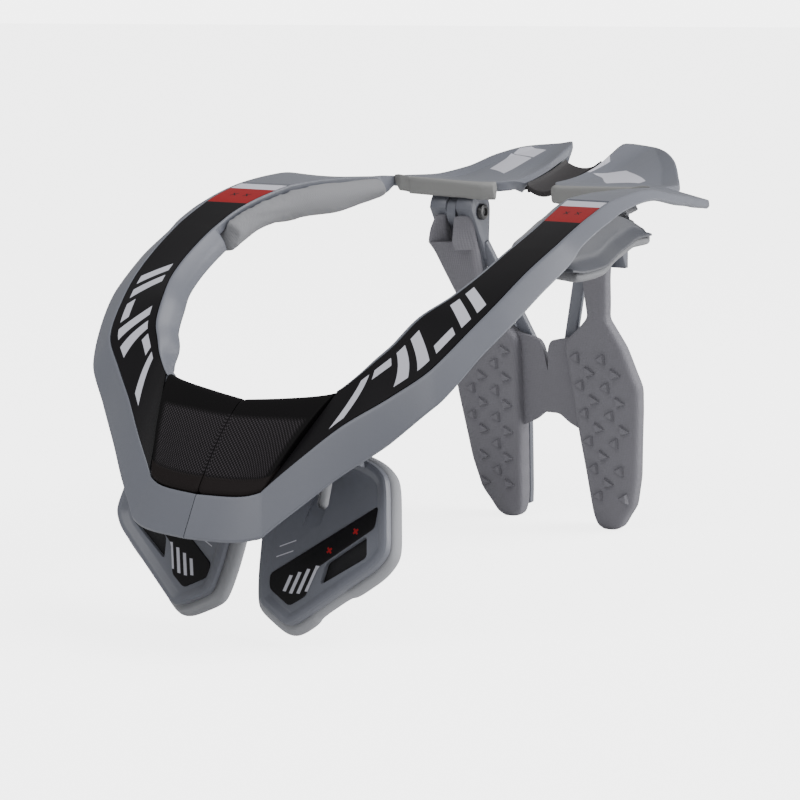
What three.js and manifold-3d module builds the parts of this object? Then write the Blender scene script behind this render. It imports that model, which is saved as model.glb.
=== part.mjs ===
// Motocross neck brace: a split collar with upturned rear wings, chest plates in front
// and a hinged back strut, standing on its chest pads and strut feet.
// Millimetres, +Z up, +X to the wearer's left, the chest side towards -Y.
// The origin is at the middle of the brace's outline in plan, at floor height.

import * as THREE from 'three';
import { mergeVertices } from 'three/addons/utils/BufferGeometryUtils.js';
import Module from 'manifold-3d';

const wasm = await Module();
wasm.setup();

// Driving dimensions

const LENGTH = 372.5; // chest edge of the collar to the tips of the rear flaps
const HALF_WIDTH = 110; // middle to the outer edge of the collar's top plate
const RISE = 195; // floor to the top of the shoulder arms
const GAP = 0.3; // running and seating clearance between pieces
const SPLIT = 0.4; // joint between the two collar halves at the chest

const WALL = 3; // collar shell
const FLARE = 10; // how far the side skirt leans out
const SKIRT = 20; // how far the side skirt reaches down
const LIP_REACH = 5; // rounded inner lip, into the neck opening
const LIP_DROP = 12; // rounded inner lip, downwards
const RIM = 1.4; // raised rim beside the printed bands and the pads
const FLAP_SAG = 5; // hollow of the rear wings between neck side and flap

const BAND_THICKNESS = 1.2; // printed top bands
const NECK_PAD_THICKNESS = 5;
const NECK_PAD_CROWN = 2.5;
const SHOULDER_PAD_THICKNESS = 6;
const PAD_END_GAP = 2.4; // shoulder pad to the thick lip ahead of it
const TRAY_THICKNESS = 2.6; // hard trays over the shoulder pads
const BUMPER_DEPTH = 5; // strips on the rear edge of the neck opening
const BUMPER_HEIGHT = 8.6;
const BRIDGE_THICKNESS = 3.2; // flexible piece between the wings
const BRIDGE_SAG = 3;
const TONGUE = 9; // how far the bridge reaches under each wing

const PLATE_WIDTH = 68; // chest plates
const PLATE_THICKNESS = 4.5;
const PLATE_RIM = 1.6; // recess of the chest plate's face
const HANGER_THICKNESS = 5; // lug under the collar that carries a chest plate
const PLATE_BORDER = 4; // raised border round the recess
const PLATE_BEVEL = 1.2;
const PLATE_LEAN_ANGLE = 18.2629; // degrees that the plates lean back
const PLATE_INNER = 9; // middle of the brace to the inner edge of a plate
const PLATE_FOOT = 12; // floor to the hard plate's lowest point, along the plate
const CHEST_PAD_THICKNESS = 8;
const CHEST_PAD_BEVEL = 3;
const CHEST_PAD_FOOT = 1.2; // floor to the foam's lowest point, along the plate
const CHEST_PAD_MARGIN = 3.2; // the foam stands out past the plate
const CHEST_PAD_SHIFT = 1.2; // the foam sits towards the middle and down by this much
const LABEL_THICKNESS = 0.8;

const HINGE_X = 42.5; // middle of each strut hinge
const EAR_WIDTH = 10.5;
const EAR_RADIUS = 11.5;
const LUG_WIDTH = 5.4; // collar lug between the two ears
const BOLT_RADIUS = 2.5;
const BOLT_HEAD_RADIUS = 4.4;
const BOLT_HEAD_HEIGHT = 2.4;

const STANCE = 58; // middle to the outer edge of a strut leg
const STRUT_PAD_THICKNESS = 12;
const PAD_CHAMFER = 2.2; // eased front edges of the strut pads
const STRUT_SHELL = 4.5; // hard strut behind the pads
const WEB_THICKNESS = 3.5;
const FORK_SLOT = 7.5; // slot in the pad at the hinge
const ARM_WIDTH = 7; // diagonal arms from the hinges to the middle of the strut
const ARM_THICKNESS = 4;
const STUD = 7; // side of the triangular studs on the strut pads
const STUD_HEIGHT = 1.6;
const STUD_PITCH = 15.5;

const FRONT = -LENGTH / 2;

// Collar sections from the chest joint, along the arm and round the wing to its inner end.
// Columns: name, outer edge, inner edge, flare, skirt, lip, sag, cover. Edges are shares of
// HALF_WIDTH, LENGTH and RISE. Flare, skirt, lip and sag are shares of their own sizes.
// cover tells what lies in the section's recess.
const SECTIONS = [
  ['seam', [0.0, 0.025, 0.357], [0.0, 0.114, 0.557], 0.92, 0.88, 0.6, 0, 'pad'],
  ['chest', [0.164, 0.03, 0.36], [0.182, 0.122, 0.567], 0.92, 0.89, 0.6, 0, 'pad'],
  ['pad_end', [0.277, 0.041, 0.374], [0.43, 0.131, 0.591], 0.92, 0.92, 0.6, 0, 'pad'],
  ['corner', [0.286, 0.043, 0.38], [0.44, 0.132, 0.594], 0.92, 0.95, 0.9, 0, 'band'],
  ['cheek_low', [0.421, 0.068, 0.457], [0.473, 0.138, 0.61], 0.85, 1.0, 0.95, 0, 'band'],
  ['cheek', [0.545, 0.094, 0.523], [0.509, 0.146, 0.631], 0.78, 1.0, 1.0, 0, 'band'],
  ['cheek_high', [0.703, 0.127, 0.587], [0.553, 0.159, 0.662], 0.7, 0.92, 1.0, 0, 'band'],
  ['kink', [0.838, 0.158, 0.653], [0.602, 0.174, 0.695], 0.8, 0.7, 1.0, 0, 'band'],
  ['arm_low', [0.902, 0.202, 0.723], [0.655, 0.208, 0.753], 0.95, 0.46, 1.0, 0, 'band'],
  ['arm', [0.947, 0.251, 0.789], [0.718, 0.251, 0.796], 1.05, 0.4, 1.0, 0, 'band'],
  ['arm_high', [0.972, 0.304, 0.849], [0.757, 0.305, 0.846], 1.05, 0.38, 1.0, 0, 'band'],
  ['tray_front', [0.991, 0.35, 0.892], [0.774, 0.352, 0.887], 0.95, 0.38, 1.0, 0, 'band'],
  ['shoulder_front', [0.994, 0.358, 0.899], [0.776, 0.36, 0.893], 0.9, 0.36, 0, 0, 'band'],
  ['shoulder_low', [0.997, 0.385, 0.921], [0.782, 0.399, 0.922], 0.85, 0.24, 0, 0, 'band'],
  ['shoulder', [1.0, 0.431, 0.954], [0.769, 0.444, 0.95], 0.85, 0.22, 0, 0, 'band'],
  ['band_end', [0.989, 0.49, 0.983], [0.735, 0.509, 0.98], 0.75, 0.24, 0, 0, 'band'],
  ['wing_start', [0.988, 0.493, 0.984], [0.734, 0.512, 0.981], 0.75, 0.24, 0, 0, 'none'],
  ['shoulder_crest', [0.984, 0.548, 0.996], [0.728, 0.545, 0.985], 0.55, 0.25, 0, 0, 'none'],
  ['wing_rise', [0.982, 0.587, 1.0], [0.723, 0.581, 0.987], 0.4, 0.27, 0, 0, 'none'],
  ['wing_side', [0.986, 0.667, 0.979], [0.714, 0.662, 0.986], 0.2, 0.27, 0, 0, 'none'],
  ['shoulder_rear', [0.982, 0.712, 0.967], [0.711, 0.704, 0.983], 0.1, 0.25, 0, 0, 'none'],
  ['lip_rear', [0.981, 0.718, 0.965], [0.711, 0.71, 0.983], 0.1, 0.25, 0.7, 0, 'none'],
  ['tip', [0.973, 0.772, 0.951], [0.709, 0.75, 0.979], 0.05, 0.22, 0, 0, 'none'],
  ['tip_root', [0.727, 0.784, 0.977], [0.64, 0.756, 0.976], 0.05, 0.24, 0, 0, 'none'],
  ['wing_rear', [0.691, 0.842, 0.974], [0.52, 0.756, 0.974], 0.05, 0.24, 0, 0, 'none'],
  ['flap_root', [0.6, 0.895, 0.992], [0.39, 0.756, 0.972], 0.05, 0.24, 0, 0.4, 'none'],
  ['flap_low', [0.506, 0.936, 1.026], [0.3, 0.757, 0.971], 0.05, 0.24, 0, 0.8, 'none'],
  ['flap', [0.389, 0.97, 1.048], [0.227, 0.76, 0.97], 0.05, 0.24, 0, 1.0, 'none'],
  ['flap_tip', [0.259, 0.999, 1.055], [0.17, 0.772, 0.97], 0.05, 0.24, 0, 1.0, 'none'],
  ['flap_corner', [0.155, 0.982, 1.063], [0.125, 0.79, 0.972], 0.03, 0.24, 0, 0.8, 'none'],
  ['wing_end', [0.105, 0.95, 1.037], [0.087, 0.815, 0.974], 0.0, 0.24, 0.1, 0.4, 'none'],
].map(([at, outer, inner, flare, skirt, lip, sag, cover]) => ({
  at, outer, inner, flare, skirt, lip, sag, cover,
}));

// Shoulder pad and tray, section by section: how far out the rim reaches as a share of
// HALF_WIDTH, and the heights of the pad's rim, of its underside at the neck and of the
// tray's upper edge, as shares of RISE.
const SHOULDER = [
  { at: 'shoulder_front', reach: 1.07, seam: 0.84, belly: 0.808, crest: 1 },
  { at: 'shoulder_low', reach: 1.077, seam: 0.833, belly: 0.841, crest: 1 },
  { at: 'shoulder', reach: 1.073, seam: 0.836, belly: 0.878, crest: 1 },
  { at: 'band_end', reach: 1.055, seam: 0.867, belly: 0.895, crest: 0.96 },
  { at: 'wing_start', reach: 1.054, seam: 0.868, belly: 0.895, crest: 0.958 },
  { at: 'shoulder_crest', reach: 1.034, seam: 0.888, belly: 0.897, crest: 0.93 },
  { at: 'wing_rise', reach: 1.015, seam: 0.888, belly: 0.897, crest: 0.908 },
  { at: 'wing_side', reach: 0.83, seam: 0.928, belly: 0.916, crest: 0.95 },
  { at: 'shoulder_rear', reach: 0.77, seam: 0.93, belly: 0.925, crest: 0.962 },
];

// One strut leg from the hinge to the foot. Columns: height, inner and outer edge, fronts of
// the two edges, thicknesses of the two edges. Heights are shares of the hinge's height,
// inner and outer edges are shares of STANCE, fronts are distances ahead of the hinge's
// axis as shares of EAR_RADIUS, thin and thick are shares of the pad's thickness.
const LEG = [
  [0.98, 0.53, 0.81, 0.72, 1.1, 0.36, 0.6],
  [0.945, 0.53, 0.9, 0.6, 1.2, 0.36, 0.75],
  [0.905, 0.54, 0.945, 0.3, 1.3, 0.36, 0.85],
  [0.875, 0.54, 0.91, 0.1, 1.0, 0.42, 0.75],
  [0.825, 0.54, 0.87, -0.1, 0.65, 0.45, 0.7],
  [0.74, 0.54, 0.805, -0.42, 0.0, 0.6, 0.72],
  [0.69, 0.54, 0.76, -0.65, -0.4, 0.7, 0.72],
  [0.65, 0.42, 0.81, -0.87, -0.69, 0.85, 0.72],
  [0.617, 0.3, 0.85, -1.01, -0.93, 1.0, 0.72],
  [0.594, 0.257, 0.88, -1.09, -1.07, 1.0, 0.72],
  [0.53, 0.268, 0.94, -1.3, -1.3, 1.0, 0.72],
  [0.475, 0.281, 0.997, -1.48, -1.48, 1.0, 0.72],
  [0.398, 0.298, 0.979, -1.72, -1.72, 1.0, 0.72],
  [0.294, 0.322, 0.941, -2.05, -2.05, 1.0, 0.72],
  [0.184, 0.355, 0.902, -2.4, -2.4, 1.0, 0.74],
  [0.086, 0.379, 0.828, -2.71, -2.71, 0.95, 0.78],
  [0.046, 0.391, 0.741, -2.84, -2.84, 0.9, 0.8],
  [0.012, 0.42, 0.68, -2.95, -2.95, 0.8, 0.75],
  [0.0, 0.47, 0.62, -3.05, -3.05, 0.7, 0.65],
].map(([height, inner, outer, innerFront, outerFront, thin, thick]) => ({
  height, inner, outer, innerFront, outerFront, thin, thick,
}));

// Chest plate's outline: x from the middle as a share of PLATE_WIDTH, height as a share
// of the plate's own height.
const PLATE_OUTLINE = [
  [0.03, 0.98], [0.0, 0.52], [0.03, 0.28], [0.065, 0.13], [0.1, 0.09], [0.3, 0.0], [0.37, 0.0],
  [0.93, 0.4], [0.99, 0.48], [1.0, 0.54], [0.92, 0.86], [0.89, 0.93], [0.82, 0.98], [0.7, 1.02],
  [0.3, 1.06],
];
const PLATE_WINDOW = [[0.53, 0.27], [0.55, 0.38], [0.8, 0.55], [0.82, 0.47]];
const PLATE_SLOT = [[0.36, 0.7], [0.42, 0.67], [0.48, 0.69], [0.48, 0.86], [0.36, 0.86]];
const PLATE_LABEL = [
  [0.105, 0.24], [0.13, 0.19], [0.31, 0.105], [0.43, 0.18], [0.48, 0.34], [0.83, 0.62],
  [0.815, 0.75], [0.105, 0.27],
];

// Small vector and mesh helpers

const V = (x, y, z) => new THREE.Vector3(x, y, z);
const UP = V(0, 0, 1);
const mix = (a, b, t) => a.clone().lerp(b, t);
const collarPoint = ([x, y, z]) => V(x * HALF_WIDTH, FRONT + y * LENGTH, z * RISE);

// A closed body through rings of equal point count, with flat triangulated ends.
function loft(rings) {
  const count = rings[0].length;
  const position = [];
  for (const ring of rings) for (const p of ring) position.push(p.x, p.y, p.z);
  const index = [];
  for (let r = 0; r + 1 < rings.length; r++) {
    for (let i = 0; i < count; i++) {
      const a = r * count + i;
      const b = r * count + ((i + 1) % count);
      index.push(a, b, b + count, a, b + count, a + count);
    }
  }
  for (const r of [0, rings.length - 1]) {
    const ring = rings[r];
    const normal = ringNormal(ring);
    const across = V(normal.z, normal.x, normal.y).cross(normal).normalize();
    const upward = normal.clone().cross(across);
    const flat = bulged(ring.map((p) => new THREE.Vector2(p.dot(across), p.dot(upward))));
    for (const [a, b, c] of THREE.ShapeUtils.triangulateShape(flat, [])) {
      const face = r === 0 ? [c, b, a] : [a, b, c];
      index.push(...face.map((i) => r * count + i));
    }
  }
  const geometry = new THREE.BufferGeometry();
  geometry.setAttribute('position', new THREE.Float32BufferAttribute(position, 3));
  geometry.setIndex(index);
  return facingOut(geometry);
}

// Nudges points that lie on a straight edge outwards, so that a triangulation keeps them all.
function bulged(points) {
  const nudge = 1e-3;
  return points.map((p, i) => {
    const before = points[(i + points.length - 1) % points.length];
    const after = points[(i + 1) % points.length];
    const edge = after.clone().sub(before).normalize();
    const off = edge.cross(p.clone().sub(before));
    if (Math.abs(off) >= nudge) return p;
    return p.clone().add(new THREE.Vector2(edge.y, -edge.x).multiplyScalar(nudge));
  });
}

// Newell's normal of a closed ring, along the way its points turn.
function ringNormal(ring) {
  const normal = V(0, 0, 0);
  ring.forEach((p, i) => {
    const q = ring[(i + 1) % ring.length];
    normal.x += (p.y - q.y) * (p.z + q.z);
    normal.y += (p.z - q.z) * (p.x + q.x);
    normal.z += (p.x - q.x) * (p.y + q.y);
  });
  return normal.normalize();
}

function signedVolume(geometry) {
  const p = geometry.getAttribute('position');
  const index = geometry.index.array;
  const corners = [V(0, 0, 0), V(0, 0, 0), V(0, 0, 0)];
  let volume = 0;
  for (let i = 0; i < index.length; i += 3) {
    corners.forEach((corner, k) => corner.fromBufferAttribute(p, index[i + k]));
    volume += corners[0].dot(corners[1].clone().cross(corners[2])) / 6;
  }
  return volume;
}

function facingOut(geometry) {
  if (signedVolume(geometry) < 0) {
    const index = geometry.index.array;
    for (let i = 0; i < index.length; i += 3) {
      [index[i + 1], index[i + 2]] = [index[i + 2], index[i + 1]];
    }
  }
  return geometry;
}

// The geometry with its positions alone.
function bareOf(geometry) {
  const bare = geometry.clone();
  bare.deleteAttribute('normal');
  bare.deleteAttribute('uv');
  return bare;
}

function toSolid(geometry) {
  if (!geometry.isBufferGeometry) return geometry;
  const merged = mergeVertices(bareOf(geometry), 1e-4);
  return new wasm.Manifold(new wasm.Mesh({
    numProp: 3,
    vertProperties: merged.getAttribute('position').array,
    triVerts: new Uint32Array(merged.index.array),
  }));
}

function fromSolid(solid) {
  if (solid.isBufferGeometry) return solid;
  const mesh = solid.getMesh();
  const geometry = new THREE.BufferGeometry();
  geometry.setAttribute('position', new THREE.BufferAttribute(mesh.vertProperties, 3));
  geometry.setIndex(new THREE.BufferAttribute(mesh.triVerts, 1));
  return geometry;
}

const join = (...parts) => parts.map(toSolid).reduce((all, piece) => all.add(piece));
const cut = (body, ...tools) => tools.map(toSolid).reduce((all, tool) => all.subtract(tool), toSolid(body));

// A box between two corners.
function block(low, high) {
  const size = high.clone().sub(low);
  const middle = mix(low, high, 0.5);
  return new THREE.BoxGeometry(size.x, size.y, size.z).translate(middle.x, middle.y, middle.z);
}

// A cylinder along X.
function rod(radius, x0, x1, y, z, sides = 20) {
  return new THREE.CylinderGeometry(radius, radius, Math.abs(x1 - x0), sides)
    .rotateZ(Math.PI / 2)
    .translate((x0 + x1) / 2, y, z);
}

// An outline in plan coordinates, extruded from zero to its depth.
function slab(points, depth, bevel = 0) {
  const shape = new THREE.Shape(points.map(([x, y]) => new THREE.Vector2(x, y)));
  const settings = {
    depth: depth - 2 * bevel,
    bevelEnabled: bevel > 0,
    bevelThickness: bevel,
    bevelSize: bevel,
    bevelOffset: -bevel,
    bevelSegments: 2,
  };
  return new THREE.ExtrudeGeometry(shape, settings).translate(0, 0, bevel);
}

// Collar

// The plate's own directions at a section: across it, out of its top, and level outwards.
function directions(rows, i) {
  const outer = collarPoint(rows[i].outer);
  const inner = collarPoint(rows[i].inner);
  const before = collarPoint(rows[Math.max(i - 1, 0)].outer);
  const after = collarPoint(rows[Math.min(i + 1, rows.length - 1)].outer);
  const across = outer.clone().sub(inner).normalize();
  const along = after.sub(before).normalize();
  const top = along.clone().cross(across).normalize();
  if (top.z < 0) top.negate();
  const level = V(along.y, -along.x, 0).normalize();
  if (level.dot(across) < 0) level.negate();
  if (rows[i].at === 'seam') level.set(0, -1, 0);
  return { outer, inner, across, top, level };
}

const COVER_DEPTH = { pad: NECK_PAD_THICKNESS, band: BAND_THICKNESS + GAP, none: 0 };

// Points of a section's skin: the lip, the plate with its recess, and the skirt.
function skin(row, i) {
  const { outer, inner, across, top, level } = directions(SECTIONS, i);
  const recess = COVER_DEPTH[row.cover];
  const reach = row.lip * LIP_REACH;
  const sunk = row.cover === 'pad' ? recess : 0;
  const at = (base, out, up) => base.clone().addScaledVector(across, out).addScaledVector(top, up);
  const sag = FLAP_SAG * row.sag;
  const drop = row.cover === 'pad' ? LIP_DROP * 0.8 : LIP_DROP * (0.45 + 0.55 * row.lip);
  const points = {
    lipLow: at(inner, -reach + sunk * 0.6, -drop - sunk * 0.4),
    lipMid: at(inner, -reach * 0.85 + sunk * 0.6, -drop * 0.45 - sunk),
    inner: at(inner, sunk * 0.4, -sunk),
    innerRim: at(inner, RIM, -recess),
    middle: at(mix(inner, outer, 0.5), 0, -recess - sag),
    outerRim: at(outer, -RIM, -recess),
    outer,
    skirt: outer.clone()
      .addScaledVector(level, row.flare * FLARE)
      .addScaledVector(UP, -row.skirt * SKIRT),
  };
  const under = recess + WALL;
  points.inside = [
    points.skirt.clone().addScaledVector(level, -WALL),
    at(outer, -WALL - RIM, -under),
    at(mix(inner, outer, 0.5), 0, -under - sag),
    at(inner, WALL - reach * 0.1 + sunk * 0.4, -Math.max(under, sunk + WALL)),
    at(points.lipMid, WALL, -0.5 * WALL),
    at(points.lipLow, WALL, 0),
  ];
  if (row.at === 'seam') {
    for (const p of [...Object.values(points).flat()]) p.x = Math.max(p.x, SPLIT / 2);
  }
  return points;
}

const SKINS = SECTIONS.map(skin);
const skinAt = (at) => SKINS[SECTIONS.findIndex((row) => row.at === at)];
const indexOf = (at) => SECTIONS.findIndex((row) => row.at === at);

function collarHalf() {
  const ring = (s) => [
    s.lipLow, s.lipMid, s.inner, s.innerRim, s.middle, s.outerRim, s.outer, s.skirt, ...s.inside,
  ];
  return join(loft(SKINS.map(ring)), chestHanger());
}

// Lug moulded under the collar's cheek that carries the chest plate on its face.
function chestHanger() {
  const inWall = (s, t) => mix(mix(s.innerRim, s.outerRim, t), mix(s.inside[3], s.inside[1], t), 0.5);
  const low = skinAt('cheek_low');
  const high = skinAt('cheek');
  const roof = [inWall(low, 0.35), inWall(high, 0.35), inWall(high, 0.6), inWall(low, 0.6)];
  const seat = [[0.56, 0], [0.74, 0], [0.74, HANGER_THICKNESS], [0.56, HANGER_THICKNESS]];
  const onFace = ([x, ahead]) => V(x * PLATE_WIDTH, 0.97 * PLATE_HEIGHT, -GAP - ahead);
  return loft([roof, seat.map((p) => onFace(p).applyMatrix4(plateMatrix()))]);
}

// Printed band in the recess of the arm.
function topBand() {
  const rings = [];
  for (let i = indexOf('corner'); i <= indexOf('band_end'); i++) {
    const s = SKINS[i];
    const { across, top } = directions(SECTIONS, i);
    const lift = (p, out, up) => p.clone().addScaledVector(across, out).addScaledVector(top, up);
    rings.push([
      lift(s.innerRim, GAP, GAP), lift(s.middle, 0, GAP), lift(s.outerRim, -GAP, GAP),
      lift(s.outerRim, -GAP, GAP + BAND_THICKNESS), lift(s.middle, 0, GAP + BAND_THICKNESS),
      lift(s.innerRim, GAP, GAP + BAND_THICKNESS),
    ]);
  }
  return loft(endsShortened(rings, GAP + 0.3));
}

// Moves the first and last ring towards their neighbours by a length.
function endsShortened(rings, length) {
  const share = (p, q) => length / Math.max(p.distanceTo(q), length * 2);
  const pull = (ring, next) => ring.map((p, i) => mix(p, next[i], share(p, next[i])));
  return [pull(rings[0], rings[1]), ...rings.slice(1, -1), pull(rings.at(-1), rings.at(-2))];
}

// Chest half of the neck pad: crowned, and rolled over the edge of the neck opening.
function neckPad() {
  const rings = [];
  for (let i = 0; i <= indexOf('pad_end'); i++) {
    const s = SKINS[i];
    const { inner, across, top } = directions(SECTIONS, i);
    const lift = (p, out, up) => p.clone().addScaledVector(across, out).addScaledVector(top, up);
    const reach = LIP_REACH * 0.55;
    const ring = [
      lift(s.outerRim, -GAP, GAP),
      lift(s.outerRim, -GAP, NECK_PAD_THICKNESS + 0.6),
      lift(s.middle, -2, NECK_PAD_THICKNESS + NECK_PAD_CROWN),
      lift(inner, 3, 0.6),
      lift(inner, -reach * 0.5, -1.6),
      lift(inner, -reach, -LIP_DROP * 0.45),
      lift(s.lipLow, -NECK_PAD_THICKNESS * 0.8, 0),
      lift(s.lipLow, -GAP, 0),
      lift(s.lipMid, -GAP, GAP),
      lift(s.inner, -GAP, GAP),
      lift(s.innerRim, 0, GAP),
      lift(s.middle, 0, GAP),
    ];
    if (SECTIONS[i].at === 'seam') for (const p of ring) p.x = Math.max(p.x, SPLIT / 2);
    rings.push(ring);
  }
  return loft([rings[0], ...endsShortened(rings.slice(1), GAP + 0.6)]);
}

// Shoulder sections with the corners that the tray and the pad share.
function shoulderRows() {
  return SHOULDER.map((row) => {
    const i = indexOf(row.at);
    const s = SKINS[i];
    const { inner, across, top } = directions(SECTIONS, i);
    const rim = V(row.reach * HALF_WIDTH, s.outer.y, row.seam * RISE);
    const roof = Math.min(s.skirt.z, s.lipLow.z) - 2 * GAP;
    const high = Math.max(Math.min(roof, row.crest * RISE), rim.z + 2.5);
    const root = Math.min(s.skirt.x - 5, rim.x - 5);
    const knee = rim.z + Math.min(5.5, (high - rim.z) * 0.6);
    const tray = row.reach > 0.95;
    return { tray, s, inner, across, top, rim, roof, high, root, knee, belly: row.belly * RISE };
  });
}

// Shoulder tray: a hard skirt that flares from the collar's underside to the pad's rim.
function shoulderTray() {
  const rows = shoulderRows().filter((r) => r.tray);
  return loft(rows.map((r) => {
    const p = (x, z) => V(x, r.rim.y, z);
    return [
      p(r.root, r.high), p(r.rim.x - 6, r.knee), p(r.rim.x, r.rim.z + 1.2), p(r.rim.x, r.rim.z),
      p(r.rim.x - 6, r.knee - TRAY_THICKNESS),
      p(r.root - TRAY_THICKNESS, r.high - TRAY_THICKNESS * 0.6),
    ];
  }));
}

// Shoulder pad: fabric over foam, wrapped from the collar's inner rim under the tray.
function shoulderPad() {
  const rings = shoulderRows().map((r) => {
    const lift = (p, out, up) => p.clone().addScaledVector(r.across, out).addScaledVector(r.top, up);
    const p = (x, z, t) => V(x, THREE.MathUtils.lerp(r.inner.y, r.rim.y, t), z);
    const clear = 3 * GAP;
    const underTray = [
      p(r.rim.x - 6.4, r.knee - TRAY_THICKNESS - GAP, 1),
      p(r.root - TRAY_THICKNESS - GAP, r.high - TRAY_THICKNESS * 0.6 - GAP, 0.9),
    ];
    const bare = [p(r.rim.x - 0.8, r.rim.z + 0.8, 1), p(r.rim.x - 1.6, r.roof - GAP, 0.9)];
    return [
      lift(r.inner, -clear, -1.2),
      lift(r.inner, -SHOULDER_PAD_THICKNESS, -2.2),
      lift(r.inner, -SHOULDER_PAD_THICKNESS - 3.5, -8),
      p(r.inner.x - 8, Math.min(r.belly + 2, r.inner.z - 9), 0),
      p(r.inner.x - 4, r.belly, 0.1),
      p((r.inner.x + r.rim.x) / 2, r.belly - 1, 0.5),
      p(r.rim.x - (r.tray ? 4 : 2), r.rim.z - (r.tray ? 5 : 1.6), 1),
      p(r.rim.x - 0.4, r.rim.z - (r.tray ? 3.4 : 0.9), 1),
      p(r.rim.x - 0.4, r.rim.z - GAP, 1),
      ...(r.tray ? underTray : bare),
      p(Math.min(r.inner.x + 3, r.rim.x - 3), r.roof - GAP, 0.1),
      lift(r.s.lipLow, -clear, -clear),
      lift(r.s.lipMid, -clear, 0),
    ];
  });
  return loft(endsShortened(rings, PAD_END_GAP));
}

// Strip on the wing's edge behind the neck.
function rearBumper() {
  const rings = [];
  for (let i = indexOf('tip'); i <= indexOf('flap_tip'); i++) {
    const { inner, across, top } = directions(SECTIONS, i);
    const lift = (out, up) => inner.clone().addScaledVector(across, out - GAP).addScaledVector(top, up);
    rings.push([
      lift(0, 0.4), lift(-BUMPER_DEPTH * 0.6, 0.1), lift(-BUMPER_DEPTH, -1.6),
      lift(-BUMPER_DEPTH, 1.6 - BUMPER_HEIGHT), lift(-BUMPER_DEPTH * 0.8, -BUMPER_HEIGHT),
      lift(-BUMPER_DEPTH * 0.6, -BUMPER_HEIGHT), lift(0, -BUMPER_HEIGHT * 0.4),
    ]);
  }
  return loft(rings);
}

// Flexible bridge: a saddle between the wings whose tongues reach under both of them.
function rearBridge() {
  const end = skinAt('wing_end');
  const near = skinAt('flap_tip');
  const rings = [];
  const edge = end.inner.x;
  const stations = [-edge - TONGUE, -edge, -edge * 0.5, 0, edge * 0.5, edge, edge + TONGUE];
  for (const x of stations) {
    const t = THREE.MathUtils.clamp((Math.abs(x) - edge) / Math.max(near.inner.x - edge, TONGUE), 0, 1);
    const under = WALL + 4 * GAP + 1.2;
    const front = mix(end.inner, near.inner, t);
    const back = mix(end.outer, near.outer, t);
    const dip = BRIDGE_SAG * (1 - Math.min(1, (x / edge) ** 2)) + under;
    const ring = [];
    const steps = [0.1, 0.3, 0.5, 0.7, 0.86];
    const sag = mix(end.middle, near.middle, t).z - (front.z + back.z) / 2;
    const surface = (f) => mix(front, back, f).z + sag * 4 * f * (1 - f) - dip;
    for (const f of steps) ring.push(V(x, mix(front, back, f).y, surface(f)));
    for (const f of [...steps].reverse()) {
      ring.push(V(x, mix(front, back, f).y, surface(f) - BRIDGE_THICKNESS));
    }
    rings.push(ring);
  }
  return loft(rings);
}

// Chest plates and their pads

const PLATE_HEIGHT = RISE * 0.453;
// Places plate coordinates (across, up the plate, depth towards the chest) in the brace.
function plateMatrix() {
  const across = V(1, 0, 0);
  const lean = THREE.MathUtils.degToRad(PLATE_LEAN_ANGLE);
  const up = V(0, Math.sin(lean), Math.cos(lean));
  const depth = across.clone().cross(up).negate();
  const base = V(PLATE_INNER, FRONT + LENGTH * 0.076, 0);
  return new THREE.Matrix4().makeBasis(across, up, depth).setPosition(base);
}

const plateXY = ([x, z]) => [x * PLATE_WIDTH, PLATE_FOOT + z * (PLATE_HEIGHT - PLATE_FOOT)];

// Turns plate coordinates into the brace's, with the faces kept outwards.
function onPlate(geometry) {
  const placed = fromSolid(geometry).clone().applyMatrix4(plateMatrix());
  return facingOut(mergeVertices(bareOf(placed), 1e-4));
}

// Moves an outline outwards by a margin, along the mean of each corner's two normals.
function grown(points, margin) {
  const area = points.reduce((sum, [x, y], i) => {
    const [u, v] = points[(i + 1) % points.length];
    return sum + x * v - u * y;
  }, 0);
  const turn = area > 0 ? 1 : -1;
  return points.map(([x, y], i) => {
    const [px, py] = points[(i + points.length - 1) % points.length];
    const [nx, ny] = points[(i + 1) % points.length];
    const a = new THREE.Vector2(y - py, px - x).normalize();
    const b = new THREE.Vector2(ny - y, x - nx).normalize();
    const m = a.add(b).normalize().multiplyScalar(margin * turn);
    return [x + m.x, y + m.y];
  });
}

const plateOutline = PLATE_OUTLINE.map(plateXY);

// A plate outline carried through the plate and its pad, for cutting.
function through(outline) {
  const depth = PLATE_THICKNESS + CHEST_PAD_THICKNESS;
  return slab(outline.map(plateXY), 3 * depth).translate(0, 0, -depth);
}

function chestPlate() {
  const body = slab(plateOutline, PLATE_THICKNESS, PLATE_BEVEL);
  const recess = slab(grown(plateOutline, -PLATE_BORDER), 2 * PLATE_RIM).translate(0, 0, -PLATE_RIM);
  const window = through(PLATE_WINDOW);
  const slot = through(PLATE_SLOT);
  return onPlate(cut(body, recess, window, slot));
}

function plateLabel() {
  const label = slab(PLATE_LABEL.map(plateXY), LABEL_THICKNESS)
    .translate(0, 0, PLATE_RIM - LABEL_THICKNESS - GAP);
  return onPlate(label);
}

function chestPad() {
  const foam = slab(grown(plateOutline, CHEST_PAD_MARGIN), CHEST_PAD_THICKNESS, CHEST_PAD_BEVEL)
    .translate(-CHEST_PAD_SHIFT, -CHEST_PAD_SHIFT, PLATE_THICKNESS + GAP);
  const floor = block(
    V(-PLATE_WIDTH, -PLATE_WIDTH, -PLATE_WIDTH),
    V(2 * PLATE_WIDTH, CHEST_PAD_FOOT, PLATE_WIDTH),
  );
  return onPlate(cut(foam, through(PLATE_SLOT), floor));
}

// Hinges

const WING_FLOOR = skinAt('flap_root').inside[3].z;
const HINGE = V(HINGE_X, FRONT + LENGTH * 0.777, WING_FLOOR - EAR_RADIUS - 2.4);

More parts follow.
